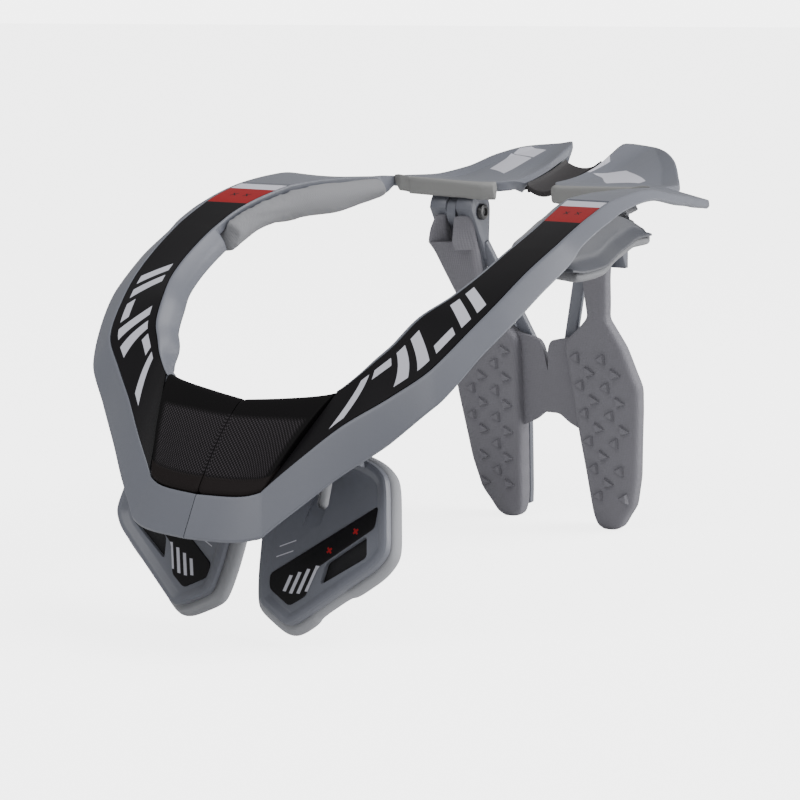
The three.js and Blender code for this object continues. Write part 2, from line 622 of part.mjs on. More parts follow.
function hingeLug() {
  const roof = Math.min(skinAt('flap_root').inside[2].z, WING_FLOOR) - 2 * GAP;
  const half = LUG_WIDTH / 2;
  const stem = block(V(HINGE.x - half, HINGE.y - 3, HINGE.z), V(HINGE.x + half, HINGE.y + 6, roof));
  const foot = block(V(HINGE.x - 9, HINGE.y - 3, roof - 1.6), V(HINGE.x + 9, HINGE.y + 12, roof));
  const eye = rod(EAR_RADIUS - 2.5, HINGE.x - half, HINGE.x + half, HINGE.y, HINGE.z);
  const bore = rod(BOLT_RADIUS + GAP, HINGE.x - 20, HINGE.x + 20, HINGE.y, HINGE.z, 16);
  return cut(join(stem, foot, eye), bore);
}

function hingeBolt() {
  const inner = HINGE.x - LUG_WIDTH / 2 - GAP - EAR_WIDTH;
  const outer = HINGE.x + LUG_WIDTH / 2 + GAP + EAR_WIDTH;
  const shank = rod(BOLT_RADIUS, inner - GAP - 1, outer + GAP + 1, HINGE.y, HINGE.z, 16);
  const head = rod(BOLT_HEAD_RADIUS, inner - GAP - BOLT_HEAD_HEIGHT, inner - GAP, HINGE.y, HINGE.z, 16);
  const nut = rod(BOLT_HEAD_RADIUS, outer + GAP, outer + GAP + BOLT_HEAD_HEIGHT, HINGE.y, HINGE.z, 6);
  const mouth = inner - GAP - BOLT_HEAD_HEIGHT;
  const socket = rod(BOLT_HEAD_RADIUS * 0.39, mouth - 1, mouth + 1.6, HINGE.y, HINGE.z, 6);
  return cut(join(shank, head, nut), socket);
}

// Strut

const frontAt = (share) => HINGE.y - share * EAR_RADIUS;

// Pad's corner points of a leg row, front and rear.
function legRow(row) {
  const z = row.height * HINGE.z;
  const inner = V(row.inner * STANCE, frontAt(row.innerFront), z);
  const outer = V(row.outer * STANCE, frontAt(row.outerFront), z);
  const back = V(0, 1, 0);
  const innerRear = inner.clone().addScaledVector(back, row.thin * STRUT_PAD_THICKNESS);
  const outerRear = outer.clone().addScaledVector(back, row.thick * STRUT_PAD_THICKNESS);
  return { z, inner, outer, innerRear, outerRear };
}

const LEG_ROWS = LEG.map(legRow);

// A leg of the pad, with its rear and its sides moved out by a clearance.
function padLeg(clearance = 0) {
  return loft(LEG_ROWS.map((r, i) => {
    const up = i === 0 ? clearance : 0;
    const out = (p, side, back) => p.clone().add(V(side * clearance, back, up));
    const span = r.inner.distanceTo(r.outer);
    return [
      out(r.inner, -1, PAD_CHAMFER),
      out(mix(r.inner, r.outer, PAD_CHAMFER / span), 0, -clearance),
      out(mix(r.outer, r.inner, PAD_CHAMFER / span), 0, -clearance),
      out(r.outer, 1, PAD_CHAMFER),
      out(r.outerRear, 1, clearance), out(r.innerRear, -1, clearance),
    ];
  }));
}

// Row values between the table's rows, at any height.
function legAt(z) {
  const i = LEG_ROWS.findIndex((r) => r.z <= z);
  const low = LEG_ROWS[i < 1 ? 1 : i];
  const high = LEG_ROWS[i < 1 ? 0 : i - 1];
  const t = (z - low.z) / (high.z - low.z);
  return {
    inner: mix(low.inner, high.inner, t),
    outer: mix(low.outer, high.outer, t),
    innerRear: mix(low.innerRear, high.innerRear, t),
    outerRear: mix(low.outerRear, high.outerRear, t),
  };
}

// Triangular studs in staggered rows down the front of a leg.
function studs() {
  const parts = [];
  const top = 0.56 * HINGE.z;
  const rows = Math.floor((top - 0.07 * HINGE.z) / (STUD_PITCH / 2));
  for (let i = 0; i <= rows; i++) {
    const z = top - (i * STUD_PITCH) / 2;
    const leg = legAt(z);
    const margin = STUD * 0.85;
    const shift = i % 2 ? 0.62 : 0;
    for (const column of [0, 1]) {
      const x = leg.inner.x + margin + STUD_PITCH * (shift + column);
      if (x + margin > leg.outer.x) continue;
      parts.push(stud(x, frontAtPoint(x, z), z, i % 2 ? 1 : -1));
    }
  }
  return parts;
}

function frontAtPoint(x, z) {
  const leg = legAt(z);
  return mix(leg.inner, leg.outer, (x - leg.inner.x) / (leg.outer.x - leg.inner.x)).y;
}

// One stud: a triangle raised most at its straight side and flush at its point.
function stud(x, y, z, turn) {
  const slope = (legAt(z + 1).inner.y - legAt(z - 1).inner.y) / 2;
  const h = STUD / 2;
  const plan = [[-h * turn, h], [-h * turn, -h], [h * turn, -0.2 * h]];
  const point = ([dx, dz], lift) => V(x + dx, y + slope * dz - lift, z + dz);
  const lifts = [STUD_HEIGHT, STUD_HEIGHT, STUD_HEIGHT * 0.45];
  const face = plan.map((p, i) => point(p, lifts[i]));
  return loft([plan.map((p) => point(p, -1)), face]);
}

// Web that joins the two pads, notched above and arched below.
function padWeb() {
  const width = 0.33 * STANCE;
  const z0 = 0.31 * HINGE.z;
  const z1 = 0.62 * HINGE.z;
  const outline = [
    [-width, z1], [-0.2 * width, 0.6 * HINGE.z], [-0.08 * width, 0.575 * HINGE.z], [0, 0.495 * HINGE.z],
    [0.08 * width, 0.575 * HINGE.z], [0.2 * width, 0.6 * HINGE.z], [width, z1], [width, z0],
    [0.55 * width, 0.335 * HINGE.z], [0.25 * width, 0.362 * HINGE.z], [-0.25 * width, 0.362 * HINGE.z],
    [-0.55 * width, 0.335 * HINGE.z], [-width, z0],
  ];
  const front = (z) => legAt(z).inner.y + 0.55 * STRUT_PAD_THICKNESS;
  const ring = (depth) => outline.map(([x, z]) => V(x, front(z) + depth, z));
  return loft([ring(0), ring(WEB_THICKNESS)]);
}

function strutPad() {
  const leg = [padLeg(), ...studs()];
  const slot = block(
    V(HINGE.x - FORK_SLOT / 2, HINGE.y - 4 * EAR_RADIUS, 0.905 * HINGE.z),
    V(HINGE.x + FORK_SLOT / 2, HINGE.y + 4 * EAR_RADIUS, HINGE.z + 2 * EAR_RADIUS),
  );
  return cut(join(...leg, ...leg.map(mirrored), padWeb()), slot, mirrored(slot));
}

function mirrored(geometry) {
  const copy = mergeVertices(bareOf(geometry), 1e-4).applyMatrix4(new THREE.Matrix4().makeScale(-1, 1, 1));
  return facingOut(copy);
}

// Hard half of the strut: ears at the hinge, neck, leg plate and diagonal arm.
function strutHalf() {
  const back = (r, extra) => [r.innerRear, r.outerRear].map((p) => p.clone().add(V(0, GAP + extra, 0)));
  const rows = LEG_ROWS.filter((r) => r.z > 0.03 * HINGE.z && r.z < 0.93 * HINGE.z);
  const plate = loft(rows.map((r) => {
    const [a, b] = back(r, 0);
    const [d, c] = back(r, STRUT_SHELL);
    return [a, b, c, d];
  }));
  const inner = HINGE.x - LUG_WIDTH / 2 - GAP - EAR_WIDTH;
  const outer = HINGE.x + LUG_WIDTH / 2 + GAP + EAR_WIDTH;
  const ears = [[inner, inner + EAR_WIDTH], [outer - EAR_WIDTH, outer]].map(([x0, x1]) => ear(x0, x1));
  const bore = rod(BOLT_RADIUS + GAP, inner - 5, outer + 5, HINGE.y, HINGE.z, 16);
  return { plate, ears, bore };
}

// One ear: round over the bolt, running down and back into the neck.
function ear(x0, x1) {
  const neck = legAt(0.86 * HINGE.z);
  const rear = Math.max(neck.innerRear.y, neck.outerRear.y) + STRUT_SHELL;
  const profile = [];
  for (let a = 0; a <= 9; a++) {
    const angle = Math.PI * (1 - a / 9) - 0.15;
    profile.push([
      HINGE.y + EAR_RADIUS * 0.85 * Math.cos(angle),
      HINGE.z + EAR_RADIUS * Math.sin(angle),
    ]);
  }
  const low = 0.85 * HINGE.z;
  const outline = [
    ...profile, [rear, low + 12], [rear, low], [neck.innerRear.y + 2, low],
    [legAt(0.9 * HINGE.z).innerRear.y + GAP + 0.5, low + 8],
  ];
  return loft([outline.map(([y, z]) => V(x0, y, z)), outline.map(([y, z]) => V(x1, y, z))]);
}

// Diagonal arm as a bar between two points.
function bar(from, to, width, thickness) {
  const along = to.clone().sub(from).normalize();
  const side = V(1, 0, 0).cross(along).cross(along).normalize().multiplyScalar(-width / 2);
  const depth = along.clone().cross(side).normalize().multiplyScalar(thickness / 2);
  const corners = [[1, 1], [1, -1], [-1, -1], [-1, 1]];
  const ring = (p) => corners.map(([a, b]) => p.clone().addScaledVector(side, a).addScaledVector(depth, b));
  return loft([ring(from), ring(to)]);
}

function strutFrame() {
  const { plate, ears, bore } = strutHalf();
  const rear = (z) => legAt(z).innerRear.y + GAP;
  const top = 0.58 * HINGE.z;
  const low = 0.385 * HINGE.z;
  const width = 0.36 * STANCE;
  const outline = [
    [-width, top], [-0.2 * width, top - 5], [0, top - 15], [0.2 * width, top - 5], [width, top],
    [width, low], [-width, low],
  ];
  const centre = loft([
    outline.map(([x, z]) => V(x, rear(z), z)),
    outline.map(([x, z]) => V(x, rear(z) + STRUT_SHELL, z)),
  ]);
  const start = V(HINGE.x - LUG_WIDTH / 2 - EAR_WIDTH * 0.8, HINGE.y + 6, 0.9 * HINGE.z);
  const end = V(0.17 * STANCE, rear(0.56 * HINGE.z) + STRUT_SHELL / 2, 0.55 * HINGE.z);
  const arm = bar(start, end, ARM_WIDTH, ARM_THICKNESS);
  const half = [plate, ...ears, arm];
  const pockets = [bore, ...lugPocket(), padLeg(GAP)];
  return cut(join(...half, ...half.map(mirrored), centre), ...pockets, ...pockets.map(mirrored));
}

// Round pocket between the ears in which the collar's lug turns.
function lugPocket() {
  const half = LUG_WIDTH / 2 + GAP;
  const round = rod(EAR_RADIUS - 1.6, HINGE.x - half, HINGE.x + half, HINGE.y, HINGE.z, 24);
  const reach = 3 * EAR_RADIUS;
  const above = block(
    V(HINGE.x - half, HINGE.y - reach, HINGE.z),
    V(HINGE.x + half, HINGE.y + reach, HINGE.z + reach),
  );
  return [round, above];
}

// Assembly

const paint = (color, roughness = 0.6, metalness = 0) =>
  new THREE.MeshStandardMaterial({ color, roughness, metalness });
const shellGrey = paint(0x7d8089, 0.5);
const padGrey = paint(0x66666c, 0.9);
const foamGrey = paint(0x9a9ca0, 0.9);
const bumperGrey = paint(0x8c8e8a, 0.8);
const printBlack = paint(0x17161a, 0.45);
const meshBlack = paint(0x1b1a1c, 0.9);
const bridgeBlack = paint(0x201d20, 0.7);
const boltSteel = paint(0x2a2a2c, 0.35, 0.9);

function part(name, geometry, material) {
  const mesh = new THREE.Mesh(fromSolid(geometry), material);
  mesh.name = name;
  return mesh;
}

// Builds the pieces that come in pairs for the left side and mirrors them for the right.
const PAIRS = [
  ['collar', collarHalf, shellGrey],
  ['top_band', topBand, printBlack],
  ['neck_pad', neckPad, meshBlack],
  ['shoulder_pad', shoulderPad, foamGrey],
  ['shoulder_tray', shoulderTray, shellGrey],
  ['rear_bumper', rearBumper, bumperGrey],
  ['chest_plate', chestPlate, shellGrey],
  ['chest_label', plateLabel, printBlack],
  ['chest_pad', chestPad, foamGrey],
  ['hinge_lug', hingeLug, shellGrey],
  ['hinge_bolt', hingeBolt, boltSteel],
];

const brace = new THREE.Group();
const left = new THREE.Group();
const right = new THREE.Group();
right.scale.x = -1;
for (const [name, build, material] of PAIRS) {
  const geometry = build();
  left.add(part(`${name}_left`, geometry, material));
  right.add(part(`${name}_right`, geometry, material));
}
const strut = new THREE.Group();
strut.add(part('strut_frame', strutFrame(), shellGrey), part('strut_pad', strutPad(), padGrey));
brace.add(left, right, part('rear_bridge', rearBridge(), bridgeBlack), strut);

export default brace;
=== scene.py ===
"""Motocross neck brace: the visible pieces, their finishes and the stage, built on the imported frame.

Lengths in the shape functions are millimetres, and meshes are written in metres.
+Z is up, +X the wearer's left, -Y the chest side. Each left piece is mirrored to the right.
"""

import math

import bmesh
import bpy
import numpy as np
from bpy.props import FloatProperty, FloatVectorProperty, PointerProperty
from mathutils import Matrix, Vector


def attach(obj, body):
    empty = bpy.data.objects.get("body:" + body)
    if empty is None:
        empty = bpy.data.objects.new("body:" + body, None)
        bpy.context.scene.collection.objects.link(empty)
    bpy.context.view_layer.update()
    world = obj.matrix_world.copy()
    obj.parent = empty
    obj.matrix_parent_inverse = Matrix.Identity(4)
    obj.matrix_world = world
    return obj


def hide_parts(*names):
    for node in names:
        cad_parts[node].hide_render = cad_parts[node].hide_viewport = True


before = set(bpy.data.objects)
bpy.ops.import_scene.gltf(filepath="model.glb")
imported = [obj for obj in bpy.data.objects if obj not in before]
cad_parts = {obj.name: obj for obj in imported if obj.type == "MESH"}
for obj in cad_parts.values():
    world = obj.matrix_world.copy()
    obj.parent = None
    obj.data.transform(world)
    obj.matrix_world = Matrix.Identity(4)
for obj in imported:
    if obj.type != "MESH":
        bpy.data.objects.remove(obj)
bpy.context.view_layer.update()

bl_info = {
    "name": "Neck brace",
    "version": (1, 0, 0),
    "blender": (4, 5, 0),
    "location": "3D View > Sidebar > Brace",
    "description": "Builds a motocross neck brace with padded shoulders and a hinged back strut",
    "category": "Add Mesh",
}

MM = 0.001
GAP = 0.3
SIDES = (("left", 1.0), ("right", -1.0))

# Collar sections from the chest joint along the arm and round the wing to its inner end:
# outer and inner edge (shares of half width, length and rise), flare and skirt of the side,
# reach of the inner lip, sag of the wing and depth of the recess for what lies on top.
SECTIONS = [
    ("seam", 0.0, 0.025, 0.357, 0.0, 0.114, 0.557, 0.92, 0.88, 0.6, 0.0, "pad"),
    ("chest", 0.164, 0.03, 0.36, 0.182, 0.122, 0.567, 0.92, 0.89, 0.6, 0.0, "pad"),
    ("pad_end", 0.277, 0.041, 0.374, 0.43, 0.131, 0.591, 0.92, 0.92, 0.6, 0.0, "pad"),
    ("corner", 0.286, 0.043, 0.38, 0.44, 0.132, 0.594, 0.92, 0.95, 0.9, 0.0, "band"),
    ("cheek_low", 0.421, 0.068, 0.457, 0.473, 0.138, 0.61, 0.85, 1.0, 0.95, 0.0, "band"),
    ("cheek", 0.545, 0.094, 0.523, 0.509, 0.146, 0.631, 0.78, 1.0, 1.0, 0.0, "band"),
    ("cheek_high", 0.703, 0.127, 0.587, 0.553, 0.159, 0.662, 0.7, 0.92, 1.0, 0.0, "band"),
    ("kink", 0.838, 0.158, 0.653, 0.602, 0.174, 0.695, 0.8, 0.7, 1.0, 0.0, "band"),
    ("arm_low", 0.902, 0.202, 0.723, 0.655, 0.208, 0.753, 0.95, 0.46, 1.0, 0.0, "band"),
    ("arm", 0.947, 0.251, 0.789, 0.718, 0.251, 0.796, 1.05, 0.4, 1.0, 0.0, "band"),
    ("arm_high", 0.972, 0.304, 0.849, 0.757, 0.305, 0.846, 1.05, 0.38, 1.0, 0.0, "band"),
    ("tray_front", 0.991, 0.35, 0.892, 0.774, 0.352, 0.887, 0.95, 0.38, 1.0, 0.0, "band"),
    ("shoulder_front", 0.994, 0.358, 0.899, 0.776, 0.36, 0.893, 0.9, 0.36, 0.0, 0.0, "band"),
    ("shoulder_low", 0.997, 0.385, 0.921, 0.782, 0.399, 0.922, 0.85, 0.24, 0.0, 0.0, "band"),
    ("shoulder", 1.0, 0.431, 0.954, 0.769, 0.444, 0.95, 0.85, 0.22, 0.0, 0.0, "band"),
    ("band_end", 0.989, 0.49, 0.983, 0.735, 0.509, 0.98, 0.75, 0.24, 0.0, 0.0, "band"),
    ("wing_start", 0.988, 0.493, 0.984, 0.734, 0.512, 0.981, 0.75, 0.24, 0.0, 0.0, "none"),
    ("shoulder_crest", 0.984, 0.548, 0.996, 0.728, 0.545, 0.985, 0.55, 0.25, 0.0, 0.0, "none"),
    ("wing_rise", 0.982, 0.587, 1.0, 0.723, 0.581, 0.987, 0.4, 0.27, 0.0, 0.0, "none"),
    ("wing_side", 0.986, 0.667, 0.979, 0.714, 0.662, 0.986, 0.2, 0.27, 0.0, 0.0, "none"),
    ("shoulder_rear", 0.982, 0.712, 0.967, 0.711, 0.704, 0.983, 0.1, 0.25, 0.0, 0.0, "none"),
    ("lip_rear", 0.981, 0.718, 0.965, 0.711, 0.71, 0.983, 0.1, 0.25, 0.7, 0.0, "none"),
    ("tip", 0.973, 0.772, 0.951, 0.709, 0.75, 0.979, 0.05, 0.22, 0.0, 0.0, "none"),
    ("tip_root", 0.727, 0.784, 0.977, 0.64, 0.756, 0.976, 0.05, 0.24, 0.0, 0.0, "none"),
    ("wing_rear", 0.691, 0.842, 0.974, 0.52, 0.756, 0.974, 0.05, 0.24, 0.0, 0.0, "none"),
    ("flap_root", 0.6, 0.895, 0.992, 0.39, 0.756, 0.972, 0.05, 0.24, 0.0, 0.4, "none"),
    ("flap_low", 0.506, 0.936, 1.026, 0.3, 0.757, 0.971, 0.05, 0.24, 0.0, 0.8, "none"),
    ("flap", 0.389, 0.97, 1.048, 0.227, 0.76, 0.97, 0.05, 0.24, 0.0, 1.0, "none"),
    ("flap_tip", 0.259, 0.999, 1.055, 0.17, 0.772, 0.97, 0.05, 0.24, 0.0, 1.0, "none"),
    ("flap_corner", 0.155, 0.982, 1.063, 0.125, 0.79, 0.972, 0.03, 0.24, 0.0, 0.8, "none"),
    ("wing_end", 0.105, 0.95, 1.037, 0.087, 0.815, 0.974, 0.0, 0.24, 0.1, 0.4, "none"),
]
RECESS = {"pad": 5.0, "band": 1.5, "none": 0.0}
NAMES = [row[0] for row in SECTIONS]

# Shoulder pad and tray: reach (share of half width), heights of the pad's rim, of its
# underside at the neck and of the tray's upper edge (shares of the rise).
SHOULDER = [
    ("shoulder_front", 1.07, 0.84, 0.808, 1.0),
    ("shoulder_low", 1.077, 0.833, 0.841, 1.0),
    ("shoulder", 1.073, 0.836, 0.878, 1.0),
    ("band_end", 1.055, 0.867, 0.895, 0.96),
    ("wing_start", 1.054, 0.868, 0.895, 0.958),
    ("shoulder_crest", 1.034, 0.888, 0.897, 0.93),
    ("wing_rise", 1.015, 0.888, 0.897, 0.908),
    ("wing_side", 0.755, 0.928, 0.916, 0.95),
    ("shoulder_rear", 0.735, 0.93, 0.925, 0.962),
]

# Strut leg from hinge to foot: height (share of the hinge's), inner and outer edge (shares
# of the stance), how far ahead of the hinge's axis each edge lies (shares of the ear's
# radius), and the pad's thickness at each edge (shares of its own).
LEG = [
    (0.98, 0.53, 0.9, 0.72, 1.1, 0.36, 0.6),
    (0.945, 0.53, 0.935, 0.6, 1.2, 0.36, 0.75),
    (0.905, 0.54, 0.945, 0.3, 1.3, 0.36, 0.85),
    (0.875, 0.54, 0.91, 0.1, 1.0, 0.42, 0.75),
    (0.825, 0.54, 0.87, -0.1, 0.65, 0.45, 0.7),
    (0.74, 0.54, 0.805, -0.42, 0.0, 0.6, 0.72),
    (0.69, 0.54, 0.76, -0.65, -0.4, 0.7, 0.72),
    (0.65, 0.42, 0.81, -0.87, -0.69, 0.85, 0.72),
    (0.617, 0.3, 0.85, -1.01, -0.93, 1.0, 0.72),
    (0.594, 0.257, 0.88, -1.09, -1.07, 1.0, 0.72),
    (0.53, 0.268, 0.94, -1.3, -1.3, 1.0, 0.72),
    (0.475, 0.281, 0.997, -1.48, -1.48, 1.0, 0.72),
    (0.398, 0.298, 0.979, -1.72, -1.72, 1.0, 0.72),
    (0.294, 0.322, 0.941, -2.05, -2.05, 1.0, 0.72),
    (0.184, 0.355, 0.902, -2.4, -2.4, 1.0, 0.74),
    (0.086, 0.379, 0.828, -2.71, -2.71, 0.95, 0.78),
    (0.046, 0.391, 0.741, -2.84, -2.84, 0.9, 0.8),
    (0.012, 0.42, 0.68, -2.95, -2.95, 0.8, 0.75),
    (0.0, 0.47, 0.62, -3.05, -3.05, 0.7, 0.65),
]
PAD_DEPTH = 12.0
SHELL = 4.5
HINGE = np.array([42.5, 103.18, 172.9])
EAR_RADIUS = 11.5
EAR_WIDTH = 10.5
LUG_WIDTH = 5.4
STANCE = 58.0

# Chest plate outline: share of its width, share of its height.
PLATE_OUTLINE = [
    (0.03, 0.98), (0.0, 0.52), (0.03, 0.28), (0.065, 0.13), (0.1, 0.09), (0.3, 0.0), (0.37, 0.0),
    (0.93, 0.4), (0.99, 0.48), (1.0, 0.54), (0.92, 0.86), (0.89, 0.93), (0.82, 0.98), (0.7, 1.02),
    (0.3, 1.06),
]
PLATE_WIDTH = 68.0
PLATE_HEIGHT = 195 * 0.453
PLATE_FOOT = 12.0
PLATE_LEAN = 0.33
PLATE_DEPTH = 4.5


# Sizes and colours


class BraceSizes(bpy.types.PropertyGroup):
    """Main sizes of the brace."""

    length: FloatProperty(
        name="Length", description="Chest edge of the collar to the rear wing tips",
        default=0.3725, unit="LENGTH")
    half_width: FloatProperty(
        name="Half width", description="Middle to the outer edge of the top plate",
        default=0.110, unit="LENGTH")
    rise: FloatProperty(
        name="Rise", description="Floor to the top of the shoulder arms",
        default=0.195, unit="LENGTH")
    lip_reach: FloatProperty(
        name="Lip reach", description="Width of the rounded lip inside the neck opening",
        default=0.005, unit="LENGTH")
    lip_drop: FloatProperty(
        name="Lip drop", description="Height of the rounded lip inside the neck opening",
        default=0.012, unit="LENGTH")


class BraceColours(bpy.types.PropertyGroup):
    """Colours of the finishes."""

    shell: FloatVectorProperty(
        name="Shell", description="Moulded plastic of collar, plates and strut",
        default=(0.128, 0.135, 0.16), subtype="COLOR")
    black: FloatVectorProperty(
        name="Print black", description="Ground of the printed bands and labels",
        default=(0.0045, 0.004, 0.005), subtype="COLOR")
    red: FloatVectorProperty(
        name="Print red", description="Red block on the bands and crosses on the labels",
        default=(0.24, 0.008, 0.010), subtype="COLOR")
    white: FloatVectorProperty(
        name="Print white", description="Bars and stripes",
        default=(0.5, 0.5, 0.56), subtype="COLOR")
    fabric: FloatVectorProperty(
        name="Pad fabric", description="Light woven cover of the shoulder pads",
        default=(0.19, 0.193, 0.205), subtype="COLOR")
    foam: FloatVectorProperty(
        name="Chest foam", description="Moulded foam behind the chest plates",
        default=(0.29, 0.295, 0.315), subtype="COLOR")
    strut_foam: FloatVectorProperty(
        name="Strut pad", description="Dark grey pads on the strut",
        default=(0.155, 0.152, 0.172), subtype="COLOR")
    bumper: FloatVectorProperty(
        name="Bumper", description="Strips behind the neck",
        default=(0.205, 0.206, 0.203), subtype="COLOR")


# Shape functions


def mono_cubic(knots, values, at, creases=()):
    """Cubic through rows of values that never overshoots them: at each knot the slope is the
    weighted harmonic mean of the slopes on both sides, or zero where they change sign. At a
    crease each side keeps its own slope."""
    knots = np.asarray(knots, float)
    values = np.asarray(values, float)
    if creases:
        ends = [0, *creases, len(knots) - 1]
        out = np.zeros((len(at), values.shape[1]))
        for a, b in zip(ends[:-1], ends[1:]):
            mine = (at >= knots[a]) & (at <= knots[b])
            out[mine] = mono_cubic(knots[a:b + 1], values[a:b + 1], at[mine])
        return out
    step = np.diff(knots)[:, None]
    slope = np.diff(values, axis=0) / step
    tangent = np.zeros_like(values)
    w1 = 2 * step[1:] + step[:-1]
    w2 = step[1:] + 2 * step[:-1]
    same = slope[:-1] * slope[1:] > 0
    safe0 = np.where(same, slope[:-1], 1.0)
    safe1 = np.where(same, slope[1:], 1.0)
    tangent[1:-1] = np.where(same, (w1 + w2) / (w1 / safe0 + w2 / safe1), 0.0)
    tangent[0], tangent[-1] = slope[0], slope[-1]
    i = np.clip(np.searchsorted(knots, at, side="right") - 1, 0, len(knots) - 2)
    h = np.diff(knots)[i][:, None]
    t = ((at - knots[i]) / np.diff(knots)[i])[:, None]
    return (
        values[i] * (1 + 2 * t) * (1 - t) ** 2 + tangent[i] * h * t * (1 - t) ** 2
        + values[i + 1] * t ** 2 * (3 - 2 * t) + tangent[i + 1] * h * t ** 2 * (t - 1)
    )


def chord(points):
    """Distance along a polyline at each of its points."""
    return np.concatenate([[0], np.cumsum(np.linalg.norm(np.diff(points, axis=0), axis=1))])


def stations(knots, count):
    """Even stations along the knots, with every knot among them."""
    return np.unique(np.concatenate([np.linspace(knots[0], knots[-1], count), knots]))


def smoothed(rings, count):
    """Rings carried along their middle line by a smooth cubic in each coordinate."""
    rings = np.asarray(rings, float)
    knots = chord(rings.mean(axis=1))
    at = stations(knots, count)
    flat = mono_cubic(knots, rings.reshape(len(rings), -1), at)
    return flat.reshape(len(at), *rings.shape[1:])


def fillet(rings, radii, steps=4):
    """Rounds the corners of closed rings with a parabola from one edge to the next:
    (1-t)^2 a + 2t(1-t) p + t^2 b, with a and b one radius from the corner p."""
    rings = np.asarray(rings, float)
    radius = np.broadcast_to(np.asarray(radii, float), rings.shape[1])[None, :, None]

    def towards(other):
        edge = other - rings
        size = np.maximum(np.linalg.norm(edge[..., :3], axis=2, keepdims=True), 1e-9)
        return rings + edge * np.minimum(radius / size, 0.46)

    a = towards(np.roll(rings, 1, axis=1))[:, :, None]
    b = towards(np.roll(rings, -1, axis=1))[:, :, None]
    t = np.linspace(0, 1, steps + 1)[None, None, :, None]
    bend = (1 - t) ** 2 * a + 2 * t * (1 - t) * rings[:, :, None] + t ** 2 * b
    return bend.reshape(len(rings), -1, rings.shape[2])


def bent(rings, radius, steps=4):
    """Rounds the kinks of rings that follow each other in straight runs, with the same
    parabola as a fillet, along the way of travel."""
    rings = np.asarray(rings, float)
    out = [rings[:1]]
    t = np.linspace(0, 1, steps + 1)[:, None, None]
    for before, at, after in zip(rings[:-2], rings[1:-1], rings[2:]):
        back = before - at
        ahead = after - at
        size0 = np.linalg.norm(back, axis=1).mean()
        size1 = np.linalg.norm(ahead, axis=1).mean()
        a = at + back * min(radius / max(size0, 1e-9), 0.46)
        b = at + ahead * min(radius / max(size1, 1e-9), 0.46)
        out.append((1 - t) ** 2 * a + 2 * t * (1 - t) * at + t ** 2 * b)
    out.append(rings[-1:])
    return np.concatenate(out)


def domed(rings, start=0.0, end=0.0, steps=4):
    """Rounds the ends of a solid body: each end ring moves out along a quarter circle and
    shrinks towards its middle as it goes."""
    rings = np.asarray(rings, float)

    def cap(ring, inside, depth):
        middle = ring.mean(axis=0)
        way = middle - inside.mean(axis=0)
        way /= np.linalg.norm(way)
        arm = ring - middle
        size = np.linalg.norm(arm, axis=1).min()
        angle = np.linspace(0, math.pi / 2, steps + 1)[1:, None, None]
        shrink = 1 - min(depth / size, 0.9) * (1 - np.cos(angle))
        return middle + arm * shrink + way * depth * np.sin(angle)

    parts = [rings]
    if start:
        parts.insert(0, cap(rings[0], rings[1], start)[::-1])
    if end:
        parts.append(cap(rings[-1], rings[-2], end))
    return np.concatenate(parts)


def fan_faces(count, first, turn):
    order = np.arange(count) + first
    return order[::turn].tolist()


def ring_faces(rows, count, closed=True):
    """Quads between neighbouring rings, with an end face on each end of a closed body."""
    i = np.arange(rows - 1)[:, None] * count
    j = np.arange(count if closed else count - 1)[None, :]
    k = (j + 1) % count
    quads = np.stack([i + j, i + k, i + k + count, i + j + count], axis=-1).reshape(-1, 4)
    faces = quads.tolist()
    if closed:
        faces.append(fan_faces(count, 0, -1))
        faces.append(fan_faces(count, (rows - 1) * count, 1))
    return faces


def ring_uv(rings):
    """Map of a carried profile: millimetres along the way, and millimetres round the ring."""
    along = chord(rings.mean(axis=1))
    size = np.linalg.norm(np.diff(rings, axis=1, append=rings[:, :1]), axis=2)
    around = np.cumsum(size, axis=1) - size
    return np.stack([np.broadcast_to(along[:, None], around.shape), around], axis=-1)


def signed_volume(verts, faces):
    total = 0.0
    for face in faces:
        a = verts[face[0]]
        for b, c in zip(face[1:-1], face[2:]):
            total += float(np.dot(a, np.cross(verts[b], verts[c])))
    return total


